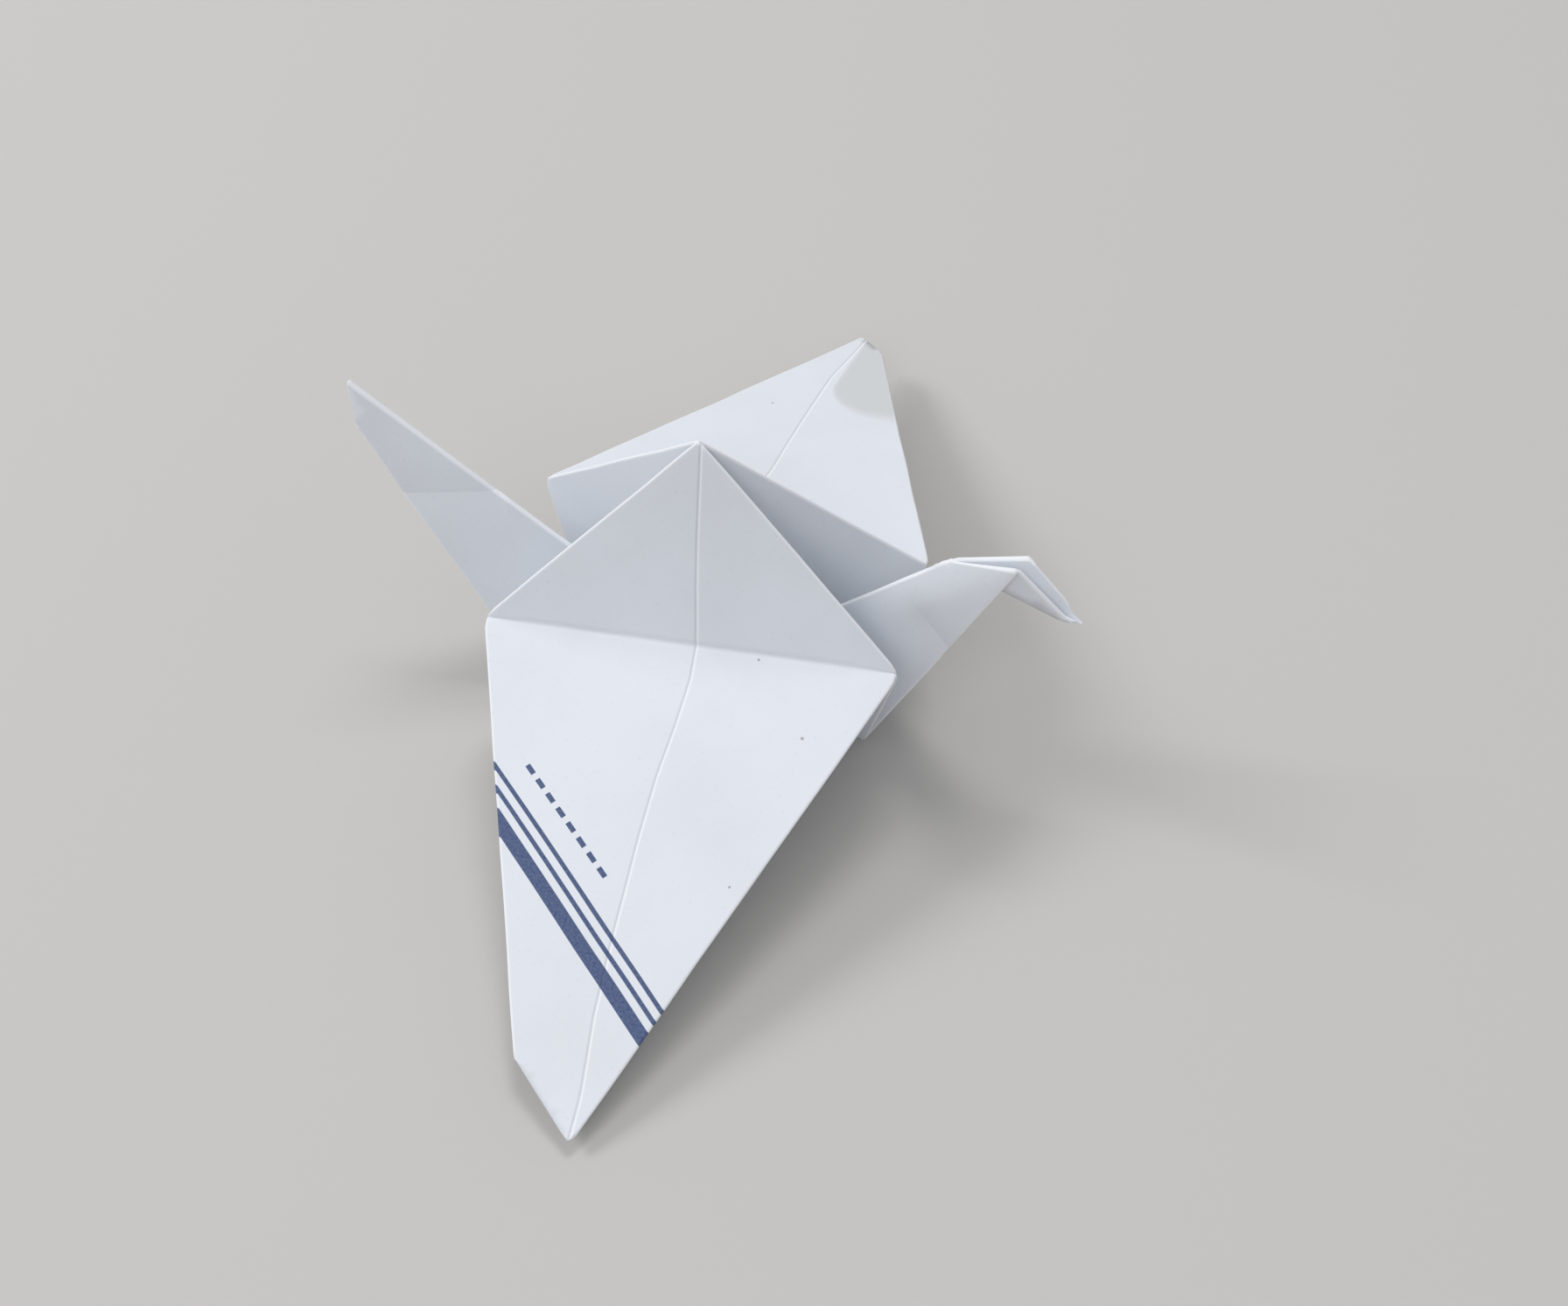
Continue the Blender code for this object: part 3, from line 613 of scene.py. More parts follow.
class Facet:
    """One flat triangle of the sheet, its map into space and its layer in the pile."""

    def __init__(self, pattern: FoldPattern, wing: Wing, leg: Leg, kind: str,
                 corners: list[str], sides: list[tuple]) -> None:
        """Solve the facet's map.

        Args:
            pattern: The placed fold pattern.
            wing: Side of the body.
            leg: End of the body.
            kind: The facet's kind.
            corners: Its three corners.
            sides: Ends and layers of every side of the whole facet.
        """
        flat = [pattern.flat[named(c, wing, leg)] for c in corners]
        if np.linalg.det(np.column_stack((flat[1] - flat[0], flat[2] - flat[0]))) < 0:
            corners = corners[::-1]
        placed = []
        for corner in corners:
            point = pattern.space[named(corner, wing, leg)]
            if (kind, corner) in WRAPPED:
                outward = pattern.heel_outward if corner == "heel" else pattern.brow_outward
                point = point + pattern.sizes.wrap * outward(wing, leg)
            placed.append(point)
        self.flat = [pattern.flat[named(c, wing, leg)] for c in corners]
        self.map = Affine(self.flat, placed)
        self.corners, self.sides, self.sizes = corners, sides, pattern.sizes

    def place(self, points: np.ndarray) -> np.ndarray:
        """Points of this facet in space, moved to their layer.

        Args:
            points: Points of the flat sheet.

        Returns:
            The points in space.
        """
        total, weights = np.zeros(len(points)), np.zeros(len(points))
        for start, end, first, last in self.sides:
            along = end - start
            share = np.clip((points - start) @ along / (along @ along), 0, 1)
            weight = 1 / (distance_to(points, start, end) ** 2 + self.sizes.reach ** 2)
            total += weight * (first + share * (last - first))
            weights += weight
        layer = (total / weights)[:, None] * self.sizes.spacing / 2
        return self.map(points) + layer * self.map.normal

    def weight(self, points: np.ndarray) -> np.ndarray:
        """One inside the facet, falling to nothing across the width of each fold.

        Args:
            points: Points of the flat sheet.

        Returns:
            The facet's weight at each point.
        """
        least = np.full(len(points), np.inf)
        for index in range(3):
            after = (index + 1) % 3
            pair = {self.corners[index], self.corners[after]}
            if pair <= RAW_CORNERS:
                continue
            start, along = self.flat[index], unit(self.flat[after] - self.flat[index])
            reach = self.sizes.reach
            if pair == {"hinge", "shoulder"}:
                shoulder = self.flat[self.corners.index("shoulder")]
                reach = self.sizes.curl_reach(np.linalg.norm(points - shoulder, axis=1))
            inward = np.array((-along[1], along[0]))
            least = np.minimum(least, (points - start) @ inward / reach)
        return np.clip((least + 1) / 2, 0, 1)


class FoldMap:
    """The whole folding: from the flat sheet to its middle surface in space."""

    def __init__(self, pattern: FoldPattern) -> None:
        """Make the facets of all four quarters.

        Args:
            pattern: The placed fold pattern.
        """
        self.facets: list[Facet] = []
        for wing in Wing:
            for leg in Leg:
                for kind, rows in {**BODY_FACETS, **LEG_FACETS[leg]}.items():
                    self.add(pattern, wing, leg, kind, rows)

    def add(self, pattern: FoldPattern, wing: Wing, leg: Leg, kind: str, rows: tuple) -> None:
        """Add one facet, split into triangles.

        Args:
            pattern: The placed fold pattern.
            wing: Side of the body.
            leg: End of the body.
            kind: The facet's kind.
            rows: Corner and the two layers of the side that leaves it.
        """
        corners = [row[0] for row in rows]
        flat = [pattern.flat[named(c, wing, leg)] for c in corners]
        ring = zip(flat, flat[1:] + flat[:1], rows)
        sides = [(a, b, row[1], row[2]) for a, b, row in ring if np.any(a != b)]
        for index in range(1, len(corners) - 1):
            if np.any(flat[index] != flat[index + 1]):
                chosen = [corners[i] for i in (0, index, index + 1)]
                self.facets.append(Facet(pattern, wing, leg, kind, chosen, sides))

    def __call__(self, points: np.ndarray) -> np.ndarray:
        """Fold points of the flat sheet.

        Args:
            points: The flat points.

        Returns:
            The same points on the folded sheet's middle surface.
        """
        total, weights = np.zeros((len(points), 3)), np.zeros(len(points))
        for facet in self.facets:
            weight = facet.weight(points)
            inside = weight > 0
            total[inside] += weight[inside, None] * facet.place(points[inside])
            weights += weight
        return total / weights[:, None]


@dataclass
class FlatSheet:
    """Points and lines of the flat sheet, triangulated so that folds follow rows."""

    pattern: FoldPattern
    crease_step: float = 0.0009
    field_step: float = 0.0015
    field_margin: float = 0.0008
    corner_margin: float = 0.00012
    rows: tuple[float, ...] = (-1.0, -0.75, -0.5, -0.25, 0.0, 0.25, 0.5, 0.75, 1.0)
    guards: tuple[float, ...] = (-1.8, -1.35, 1.35, 1.8)
    grid_shift_share: float = 1 / 3
    merge_share: float = 1e-7
    points: list[np.ndarray] = field(default_factory=list)
    lines: list[tuple[int, int]] = field(default_factory=list)
    corners: dict[str, int] = field(default_factory=dict)

    def add(self, point: np.ndarray) -> int:
        """Index of a new point."""
        self.points.append(point)
        return len(self.points) - 1

    def setback(self, fold: tuple[str, str], corner: str) -> float:
        """Length left free at a corner so that the rows of its folds stay apart.

        Args:
            fold: The fold's end names.
            corner: The end in question.

        Returns:
            The free length.
        """
        if corner.split()[-1] in RAW_CORNERS:
            return 0.0
        flat, most = self.pattern.flat, 0.0
        other = fold[1] if corner == fold[0] else fold[0]
        along = unit(flat[other] - flat[corner])
        for start, end in self.pattern.folds():
            if corner in (start, end) and {start, end} != set(fold):
                away = unit(flat[end if corner == start else start] - flat[corner])
                angle = math.acos(np.clip(along @ away, -1, 1))
                most = max(most, self.pattern.sizes.reach / math.tan(angle / 2))
        return most + self.corner_margin

    def add_fold(self, fold: tuple[str, str]) -> None:
        """Add rows of points along one fold, and guard rows beside them with no lines.

        Args:
            fold: The fold's end names.
        """
        sizes, flat = self.pattern.sizes, self.pattern.flat
        start, end = flat[fold[0]], flat[fold[1]]
        length = float(np.linalg.norm(end - start))
        along = (end - start) / length
        inward = np.array((-along[1], along[0]))
        first, last = self.setback(fold, fold[0]), length - self.setback(fold, fold[1])
        count = max(2, math.ceil((last - first) / self.crease_step) + 1)
        places = np.linspace(first, last, count)
        curled = all(name.endswith("shoulder") for name in fold)
        reach = np.full(count, sizes.reach)
        if curled:
            reach = sizes.curl_reach(np.minimum(places, length - places))
        middle_line = start + np.outer(places, along)
        aside = np.outer(reach, inward)
        for share in self.rows:
            row = [self.add(point) for point in middle_line + share * aside]
            self.lines.extend(zip(row[:-1], row[1:]))
            if share == 0:
                self.tie(fold[0], row[0])
                self.tie(fold[1], row[-1])
        for share in self.guards:
            for point in middle_line + share * aside:
                self.add(point)

    def tie(self, corner: str, index: int) -> None:
        """Draw a fold's middle row on to the corner where folds meet.

        Args:
            corner: The corner's name.
            index: The end of the row.
        """
        if corner.split()[-1] not in RAW_CORNERS:
            if corner not in self.corners:
                self.corners[corner] = self.add(self.pattern.flat[corner])
            self.lines.append((self.corners[corner], index))

    def add_border(self) -> None:
        """Add the raw edge of the sheet."""
        side = self.pattern.sizes.side
        reach = side / math.sqrt(2)
        corners = [reach * np.array(c) for c in ((1, 0), (0, 1), (-1, 0), (0, -1))]
        count = math.ceil(side / self.field_step)
        first = len(self.points)
        for index in range(4):
            for step in range(count):
                share = step / count
                self.add(corners[index] * (1 - share) + corners[(index + 1) % 4] * share)
        ring = list(range(first, len(self.points)))
        self.lines.extend(zip(ring, ring[1:] + ring[:1]))

    def add_field(self) -> None:
        """Add points inside the facets, clear of the folds."""
        edge = self.pattern.sizes.side / math.sqrt(2)
        steps = np.arange(-edge, edge, self.field_step) + self.field_step * self.grid_shift_share
        grid = np.array([(x, y) for x in steps for y in steps])
        grid = grid[np.abs(grid).sum(axis=1) < edge - self.field_margin * math.sqrt(2)]
        for start, end in self.pattern.folds():
            curled = start.endswith("shoulder") and end.endswith("shoulder")
            clear = self.pattern.sizes.curl + self.field_margin if curled else self.field_margin
            flat = self.pattern.flat
            grid = grid[distance_to(grid, flat[start], flat[end]) > clear]
        for point in grid:
            self.add(point)

    def triangulate(self) -> tuple[np.ndarray, np.ndarray]:
        """Triangulate the sheet inside its raw edge.

        Returns:
            Flat points, and counter-clockwise triangles of their indices.
        """
        for fold in self.pattern.folds():
            self.add_fold(fold)
        self.add_border()
        self.add_field()
        side = self.pattern.sizes.side
        coords = [Vector(point / side) for point in self.points]
        result = delaunay_2d_cdt(coords, self.lines, [], 0, self.merge_share)
        points = np.array([tuple(point) for point in result[0]]) * side
        triangles = np.array([tuple(face) for face in result[2]])
        centres = points[triangles].mean(axis=1)
        triangles = triangles[np.abs(centres).sum(axis=1) < side / math.sqrt(2)]
        used, triangles = np.unique(triangles, return_inverse=True)
        triangles, points = triangles.reshape(-1, 3), points[used]
        edges = points[triangles[:, 1:]] - points[triangles[:, :1]]
        areas = edges[:, 0, 0] * edges[:, 1, 1] - edges[:, 0, 1] * edges[:, 1, 0]
        triangles[areas < 0] = triangles[areas < 0][:, ::-1]
        return points, triangles


def vertex_normals(points: np.ndarray, triangles: np.ndarray) -> np.ndarray:
    """Normals averaged over the triangles at each point by their angles.

    Args:
        points: Points in space.
        triangles: Their triangles.

    Returns:
        One normal for each point.
    """
    corners = points[triangles]
    face = np.cross(corners[:, 1] - corners[:, 0], corners[:, 2] - corners[:, 0])
    face /= np.linalg.norm(face, axis=1, keepdims=True)
    normals = np.zeros_like(points)
    for index in range(3):
        first = corners[:, (index + 1) % 3] - corners[:, index]
        second = corners[:, (index + 2) % 3] - corners[:, index]
        first /= np.linalg.norm(first, axis=1, keepdims=True)
        second /= np.linalg.norm(second, axis=1, keepdims=True)
        angles = np.arccos(np.clip((first * second).sum(axis=1), -1, 1))
        np.add.at(normals, triangles[:, index], face * angles[:, None])
    return normals / np.linalg.norm(normals, axis=1, keepdims=True)


def rim_edges(triangles: np.ndarray) -> list[tuple[int, int]]:
    """Find the raw edge of a triangulated sheet.

    Args:
        triangles: The triangles.

    Returns:
        The directed edges that belong to one triangle only.
    """
    edges = [(int(t[i]), int(t[(i + 1) % 3])) for t in triangles for i in range(3)]
    present = set(edges)
    return [edge for edge in edges if edge[::-1] not in present]


class Value:
    """A number in a node tree, which takes part in plain arithmetic."""

    def __init__(self, tree: "NodeTree", socket: bpy.types.NodeSocket) -> None:
        """Wrap an output socket."""
        self.tree, self.socket = tree, socket

    def __add__(self, other: "Value | float") -> "Value":
        """Sum of two numbers."""
        return self.tree.math("ADD", self, other)

    def __sub__(self, other: "Value | float") -> "Value":
        """Difference of two numbers."""
        return self.tree.math("SUBTRACT", self, other)

    def __rsub__(self, other: float) -> "Value":
        """This number taken from a plain one."""
        return self.tree.math("SUBTRACT", other, self)

    def __mul__(self, other: "Value | float") -> "Value":
        """Product of two numbers."""
        return self.tree.math("MULTIPLY", self, other)

    def __truediv__(self, other: "Value | float") -> "Value":
        """Quotient of two numbers."""
        return self.tree.math("DIVIDE", self, other)

    def __rtruediv__(self, other: float) -> "Value":
        """A plain number divided by this one."""
        return self.tree.math("DIVIDE", other, self)

    def __neg__(self) -> "Value":
        """This number with its sign changed."""
        return self.tree.math("MULTIPLY", self, -1.0)

    def __abs__(self) -> "Value":
        """Size of this number."""
        return self.tree.math("ABSOLUTE", self)

    __radd__ = __add__
    __rmul__ = __mul__

    def at_least(self, least: "Value | float") -> "Value":
        """This number, or the least allowed."""
        return self.tree.math("MAXIMUM", self, least)

    def at_most(self, most: "Value | float") -> "Value":
        """This number, or the most allowed."""
        return self.tree.math("MINIMUM", self, most)

    def root(self) -> "Value":
        """Square root of this number."""
        return self.tree.math("SQRT", self)

    def rise(self, low: float, high: float) -> "Value":
        """Smooth step from 0 at low to 1 at high.

        Args:
            low: Where it starts.
            high: Where it is whole.

        Returns:
            The step.
        """
        return self.tree.number("ShaderNodeMapRange", {"interpolation_type": "SMOOTHSTEP"},
                                {0: self, 1: low, 2: high, 3: 0.0, 4: 1.0})

    def fall(self, low: float, high: float) -> "Value":
        """Smooth step from 1 at low to 0 at high."""
        return 1.0 - self.rise(low, high)

    def bell(self, centre: float, half_width: float) -> "Value":
        """Smooth hump about a centre."""
        return abs(self - centre).fall(0.0, half_width)

    def band(self, low: float, high: float, soft: float) -> "Value":
        """One between two limits, nothing outside them.

        Args:
            low: Lower limit.
            high: Upper limit.
            soft: Width of the step at each limit.

        Returns:
            The band.
        """
        return self.rise(low - soft, low) * self.fall(high, high + soft)


class NodeTree:
    """A node tree, built by method calls."""

    def __init__(self, tree: bpy.types.NodeTree) -> None:
        """Wrap a tree."""
        self.tree = tree

    def feed(self, target: bpy.types.NodeSocket, value: object) -> None:
        """Link a socket or set its value.

        Args:
            target: The input.
            value: What it takes: a number in the tree, an output to link, or a plain value.
        """
        if isinstance(value, Value):
            value = value.socket
        if isinstance(value, bpy.types.NodeSocket):
            self.tree.links.new(value, target)
        else:
            target.default_value = value

    def node(self, kind: str, settings: dict | None = None,
             inputs: dict | None = None) -> bpy.types.Node:
        """Add a node, with its settings first and its inputs after them.

        Args:
            kind: The node's type.
            settings: Its properties.
            inputs: Values, or sockets to link, by input name or number.

        Returns:
            The node.
        """
        made = self.tree.nodes.new(kind)
        for key, value in (settings or {}).items():
            setattr(made, key, value)
        for key, value in (inputs or {}).items():
            self.feed(made.inputs[key], value)
        return made

    def number(self, kind: str, settings: dict | None = None, inputs: dict | None = None,
               output: int | str = 0) -> Value:
        """Number that a new node gives.

        Args:
            kind: The node's type.
            settings: Its properties.
            inputs: Its inputs.
            output: Name or number of the output.

        Returns:
            The wrapped output.
        """
        return Value(self, self.node(kind, settings, inputs).outputs[output])

    def math(self, operation: str, first: object, second: object = 0.0) -> Value:
        """Number from a Math node."""
        return self.number("ShaderNodeMath", {"operation": operation}, {0: first, 1: second})

    def vector(self, operation: str, first: object, second: object) -> bpy.types.NodeSocket:
        """Vector from a Vector Math node.

        Args:
            operation: What the node does.
            first: A vector or a vector socket.
            second: The same, or the number by which SCALE multiplies.

        Returns:
            The vector socket.
        """
        slot = "Scale" if operation == "SCALE" else 1
        made = self.node("ShaderNodeVectorMath", {"operation": operation},
                         {0: first, slot: second})
        return made.outputs[0]


class ShaderTree(NodeTree):
    """Node tree of a material."""

    def __init__(self, name: str) -> None:
        """Start a material.

        Args:
            name: The material's name.
        """
        self.material = bpy.data.materials.new(name)
        self.material.use_nodes = True
        super().__init__(self.material.node_tree)
        self.surface = self.tree.nodes["Principled BSDF"].inputs

    def attribute(self, name: str) -> Value:
        """Number that the mesh carries at each point."""
        return self.number("ShaderNodeAttribute", {"attribute_name": name}, None, "Fac")

    def greatest(self, values: list[Value]) -> Value:
        """Greatest of several numbers.

        Args:
            values: The numbers.

        Returns:
            The greatest.
        """
        most = values[0]
        for value in values[1:]:
            most = most.at_least(value)
        return most

    def noise(self, where: bpy.types.NodeSocket, fineness: float, detail: float) -> Value:
        """Noise between 0 and 1 over a vector.

        Args:
            where: The vector.
            fineness: How often it changes over a unit of length.
            detail: How many finer noises it carries.

        Returns:
            The noise.
        """
        return self.number("ShaderNodeTexNoise", {"noise_dimensions": "3D"},
                           {"Vector": where, "Scale": fineness, "Detail": detail}, "Fac")

    def blend(self, share: Value, first: object, second: object) -> bpy.types.NodeSocket:
        """Colour between two colours.

        Args:
            share: How much of the second.
            first: A colour or a colour socket.
            second: A colour or a colour socket.

        Returns:
            The colour socket.
        """
        mix = self.node("ShaderNodeMix", {"data_type": "RGBA"}, {0: share, 6: first, 7: second})
        return mix.outputs[2]


@dataclass(frozen=True)
class SheetPlace:
    """Where a shader is on the flat sheet, in millimetres."""

    where: bpy.types.NodeSocket
    flat: tuple[Value, Value]
    leaf: tuple[Value, Value]
    inner: Value


@dataclass(frozen=True)
class Chart:
    """The flat sheet as a UV map: its outer face on the left, its inner face on the right."""

    name: str = "sheet"
    scale: float = 0.0044
    outer_middle: float = 0.25
    inner_shift: float = 0.5
    middle: float = 0.5
    face_distance: float = 40.0

    def write(self, mesh: bpy.types.Mesh, points: np.ndarray, face_count: int) -> None:
        """Write the map on the closed sheet.

        Args:
            mesh: The closed mesh, the outer face's points before the inner face's.
            points: Flat points, in metres.
            face_count: How many triangles come before the raw edge's faces.
        """
        flat = points * MILLIMETRES
        first = (flat[:, 0] + flat[:, 1]) * math.sqrt(0.5)
        second = (flat[:, 1] - flat[:, 0]) * math.sqrt(0.5)
        loops = np.zeros(len(mesh.loops), dtype=int)
        mesh.loops.foreach_get("vertex_index", loops)
        rim = np.arange(len(loops)) >= 3 * face_count
        inner = (loops >= len(points)) & ~rim
        source = loops % len(points)
        across = self.outer_middle + self.inner_shift * inner + self.scale * first[source]
        along = self.middle + self.scale * second[source]
        layer = mesh.uv_layers.new(name=self.name)
        layer.data.foreach_set("uv", np.column_stack((across, along)).ravel())

    def read(self, paper: ShaderTree) -> SheetPlace:
        """Read the place on the flat sheet back in a shader.

        Args:
            paper: The material's tree.

        Returns:
            The place.
        """
        chart = paper.node("ShaderNodeUVMap", {"uv_map": self.name}).outputs[0]
        parts = paper.node("ShaderNodeSeparateXYZ", None, {0: chart}).outputs
        across, along = Value(paper, parts[0]), Value(paper, parts[1])
        inner = paper.math("GREATER_THAN", across, self.middle)
        first = (across - self.outer_middle - inner * self.inner_shift) / self.scale
        second = (along - self.middle) / self.scale
        flat = (first - second) * math.sqrt(0.5), (first + second) * math.sqrt(0.5)
        where = paper.node("ShaderNodeCombineXYZ", None,
                           {0: flat[0], 1: flat[1], 2: inner * self.face_distance})
        return SheetPlace(where.outputs[0], flat, (first, second), inner)


@dataclass(frozen=True)
class Unevenness:
    """Noise over the sheet: changes in a millimetre, detail, strength, and the part that shows."""

    fineness: float
    detail: float
    strength: float
    shown: tuple[float, float] = (0.0, 1.0)

    def wave(self, paper: ShaderTree, place: SheetPlace) -> Value:
        """Plain noise at its strength."""
        return paper.noise(place.where, self.fineness, self.detail) * self.strength

    def patches(self, paper: ShaderTree, place: SheetPlace) -> Value:
        """Patches where the noise is high, at their strength.

        Args:
            paper: The material's tree.
            place: The place on the sheet.

        Returns:
            Their share.
        """
        noise = paper.noise(place.where, self.fineness, self.detail)
        return noise.rise(*self.shown) * self.strength


@dataclass(frozen=True)
class SoftLine:
    """A soft line beside the wings' long crease: its offset, half width and strength."""

    offset: float
    half_width: float
    strength: float

    def share(self, crease: Value) -> Value:
        """Strength of the line at a distance from the crease."""
        return crease.bell(self.offset, self.half_width) * self.strength


@dataclass(frozen=True)
class RuledPrint:
    """Plain printed rules at the head of the leaf, in millimetres on the flat sheet."""

    colour: tuple = (0.050, 0.085, 0.205, 1.0)
    rules: tuple = ((-43.5, -42.1), (-41.3, -40.9), (-40.1, -39.7))
    length: tuple = (14.0, 50.0)
    dash_row: tuple = (-37.35, -36.85)
    dash_length: tuple = (17.5, 33.4)
    dash_pitch: float = 2.0
    dash_share: float = 0.62
    dash_soft_share: float = 0.03
    soft: float = 0.06
    cover: float = 0.84
    patchiness: Unevenness = Unevenness(3.5, 2.0, 0.22)

    def share(self, paper: ShaderTree, place: SheetPlace) -> Value:
        """How much ink lies on the paper.

        Args:
            paper: The material's tree.
            place: The place on the sheet.

        Returns:
            Nearly one on ink, nothing elsewhere.
        """
        across_rules, along_rules = place.leaf[0], -place.leaf[1]
        lines = [across_rules.band(low, high, self.soft) for low, high in self.rules]
        ruled = paper.greatest(lines) * along_rules.band(*self.length, self.soft)
        phase = paper.math("FRACT", along_rules / self.dash_pitch)
        dashes = (across_rules.band(*self.dash_row, self.soft)
                  * phase.band(self.dash_soft_share, self.dash_share, self.dash_soft_share)
                  * along_rules.band(*self.dash_length, self.soft))
        ink = paper.greatest([ruled, dashes]) * (1.0 - place.inner)
        return ink * (self.cover + self.patchiness.wave(paper, place))


@dataclass(frozen=True)
class Dent:
    """Faint valley across a leg, in millimetres on the flat sheet."""

    start: tuple
    end: tuple
    depth: float
    reach: float = 4.5
    soft: float = 1.2

    def height(self, flat: tuple) -> Value:
        """Height of the surface at the dent.

        Args:
            flat: Millimetres from the middle to the corners, as two numbers.

        Returns:
            The height, nothing away from the dent.
        """
        length = math.dist(self.start, self.end)
        along_x, along_y = ((e - s) / length for s, e in zip(self.start, self.end))
        away_x, away_y = flat[0] - self.start[0], flat[1] - self.start[1]
        aside = abs(away_y * along_x - away_x * along_y)
        along = away_x * along_x + away_y * along_y
        valley = (1.0 - aside / self.reach).at_least(0.0)
        return valley * valley * along.band(0.0, length, self.soft) * -self.depth


@dataclass(frozen=True)
class GreyTipPatch:
    """Greyer patch with a rounded corner at the far wing's tip, in flat millimetres."""

    corner: tuple = (0.35, 53.0)
    radius: float = 8.0
    soft: float = 0.45
    spread: float = 0.40
    strength: float = 0.92

    def share(self, flat: tuple) -> Value:
        """How grey the paper is at the far wing's tip.

        Args:
            flat: Millimetres from the middle to the corners, as two numbers.

        Returns:
            The patch's strength well inside it, nothing outside it.
        """
        right, up = flat[0] - self.corner[0], flat[1] - self.corner[1]
        short_x, short_y = ((part - self.radius).at_most(0.0) for part in (right, up))
        depth = self.radius - (short_x * short_x + short_y * short_y).root()
        fade = right.at_least(0.0) * self.spread + self.soft
        return (depth / fade).rise(0.0, 1.0) * self.strength


@dataclass(frozen=True)
class Speck:
    """Small dark speck in the paper, in millimetres on the flat sheet."""

    place: tuple
    radius: float
    core_share: float = 0.5
    strength: float = 0.75

    def share(self, flat: tuple) -> Value:
        """How dark the paper is at the speck.

        Args:
            flat: Millimetres from the middle to the corners, as two numbers.

        Returns:
            The speck's strength inside it, nothing outside it.
        """
        away_x, away_y = flat[0] - self.place[0], flat[1] - self.place[1]
        away = (away_x * away_x + away_y * away_y).root()
        return away.fall(self.radius * self.core_share, self.radius) * self.strength


@dataclass(frozen=True)
class PaperFinish:
    """White writing paper with mottle, fibres, specks, printed rules, fold wear with a painted
    highlight, and a painted shadow and highlight by the crease.
    """

    white: tuple = (0.815, 0.845, 0.895, 1.0)
    mottle: tuple = (0.775, 0.800, 0.840, 1.0)
    # Whiter than the paper: wear along the folds, and a painted highlight on fold edges and beside
    # the long crease.
    wear_and_highlight: tuple = (0.93, 0.94, 0.96, 1.0)
    # Grey of the fibre patches, the paper's own tone; also the painted shadow beside the long
    # crease.
    grey_fibre_and_shade: tuple = (0.60, 0.62, 0.66, 1.0)
    dark: tuple = (0.33, 0.29, 0.26, 1.0)
    tip_grey: tuple = (0.655, 0.672, 0.680, 1.0)
    cloud: Unevenness = Unevenness(0.05, 3.0, 0.80, (0.35, 0.68))
    fibre: Unevenness = Unevenness(2.6, 3.0, 0.35, (0.60, 0.78))
    strays: Unevenness = Unevenness(0.9, 2.0, 0.60, (0.795, 0.83))
    patch: GreyTipPatch = GreyTipPatch()
    # Whitening along the folds: wear, with a painted highlight where the fold edges catch the
    # light.
    fold_shown: tuple = (0.15, 0.90)
    fold_strength: float = 0.80
    # Painted shadow on one side of the wings' long crease.
    crease_painted_shade: SoftLine = SoftLine(-0.17, 0.20, 0.30)
    # Painted highlight on the lit side of the wings' long crease.
    crease_painted_highlight: SoftLine = SoftLine(0.12, 0.16, 0.85)
    specks: tuple = (
        Speck((13.9, -31.6), 0.24), Speck((7.7, -23.3), 0.20), Speck((17.5, -13.0), 0.22),
        Speck((-5.0, 52.4), 0.22), Speck((9.9, -48.8), 0.18))
    ruling: RuledPrint = RuledPrint()
    roughness: float = 0.66
    grain: Unevenness = Unevenness(1.1, 4.0, 0.16)
    gloss: float = 0.35
    fibre_relief: Unevenness = Unevenness(2.2, 4.0, 0.010)
    cockle: Unevenness = Unevenness(0.13, 2.0, 0.11)
    groove: SoftLine = SoftLine(0.0, 0.24, -0.05)
    dents: tuple = (Dent((55.2, -6.2), (55.3, -13.0), 0.62, soft=5.5),
                    Dent((-66.6, -8.2), (-56.6, 0.3), 0.38))

    def material(self, chart: Chart) -> bpy.types.Material:
        """Build the paper.

        Args:
            chart: The UV map that the finish reads.

        Returns:
            The material.
        """
        paper = ShaderTree("writing_paper")
        place = chart.read(paper)
        paper.feed(paper.surface["Base Color"], self.colour(paper, place))
        paper.feed(paper.surface["Roughness"], self.roughness + self.grain.wave(paper, place))
        paper.feed(paper.surface["Specular IOR Level"], self.gloss)
        bump = paper.node("ShaderNodeBump", None, {
            "Strength": 1.0, "Distance": 1.0 / MILLIMETRES, "Height": self.relief(paper, place)})
        paper.feed(paper.surface["Normal"], bump.outputs[0])
        return paper.material

    def colour(self, paper: ShaderTree, place: SheetPlace) -> bpy.types.NodeSocket:
        """Colour of the paper.

        Args:
            paper: The material's tree.
            place: The place on the sheet.

        Returns:
            The colour socket.
        """
        colour = paper.blend(self.cloud.patches(paper, place), self.white, self.mottle)
        colour = paper.blend(self.fibre.patches(paper, place), colour, self.grey_fibre_and_shade)
        colour = paper.blend(self.patch.share(place.flat), colour, self.tip_grey)
        # Folds turn whiter: wear, with a painted highlight on their edges.
        fold = paper.attribute("fold").rise(*self.fold_shown) * self.fold_strength
        colour = paper.blend(fold, colour, self.wear_and_highlight)
        crease = paper.attribute("crease")
        # Painted shadow beside the long crease, then a painted highlight on its other side.
        colour = paper.blend(self.crease_painted_shade.share(crease), colour, self.grey_fibre_and_shade)
        colour = paper.blend(self.crease_painted_highlight.share(crease), colour, self.wear_and_highlight)
        for speck in self.specks:
            colour = paper.blend(speck.share(place.flat) * (1.0 - place.inner), colour, self.dark)
        colour = paper.blend(self.strays.patches(paper, place), colour, self.dark)
        return paper.blend(self.ruling.share(paper, place), colour, self.ruling.colour)

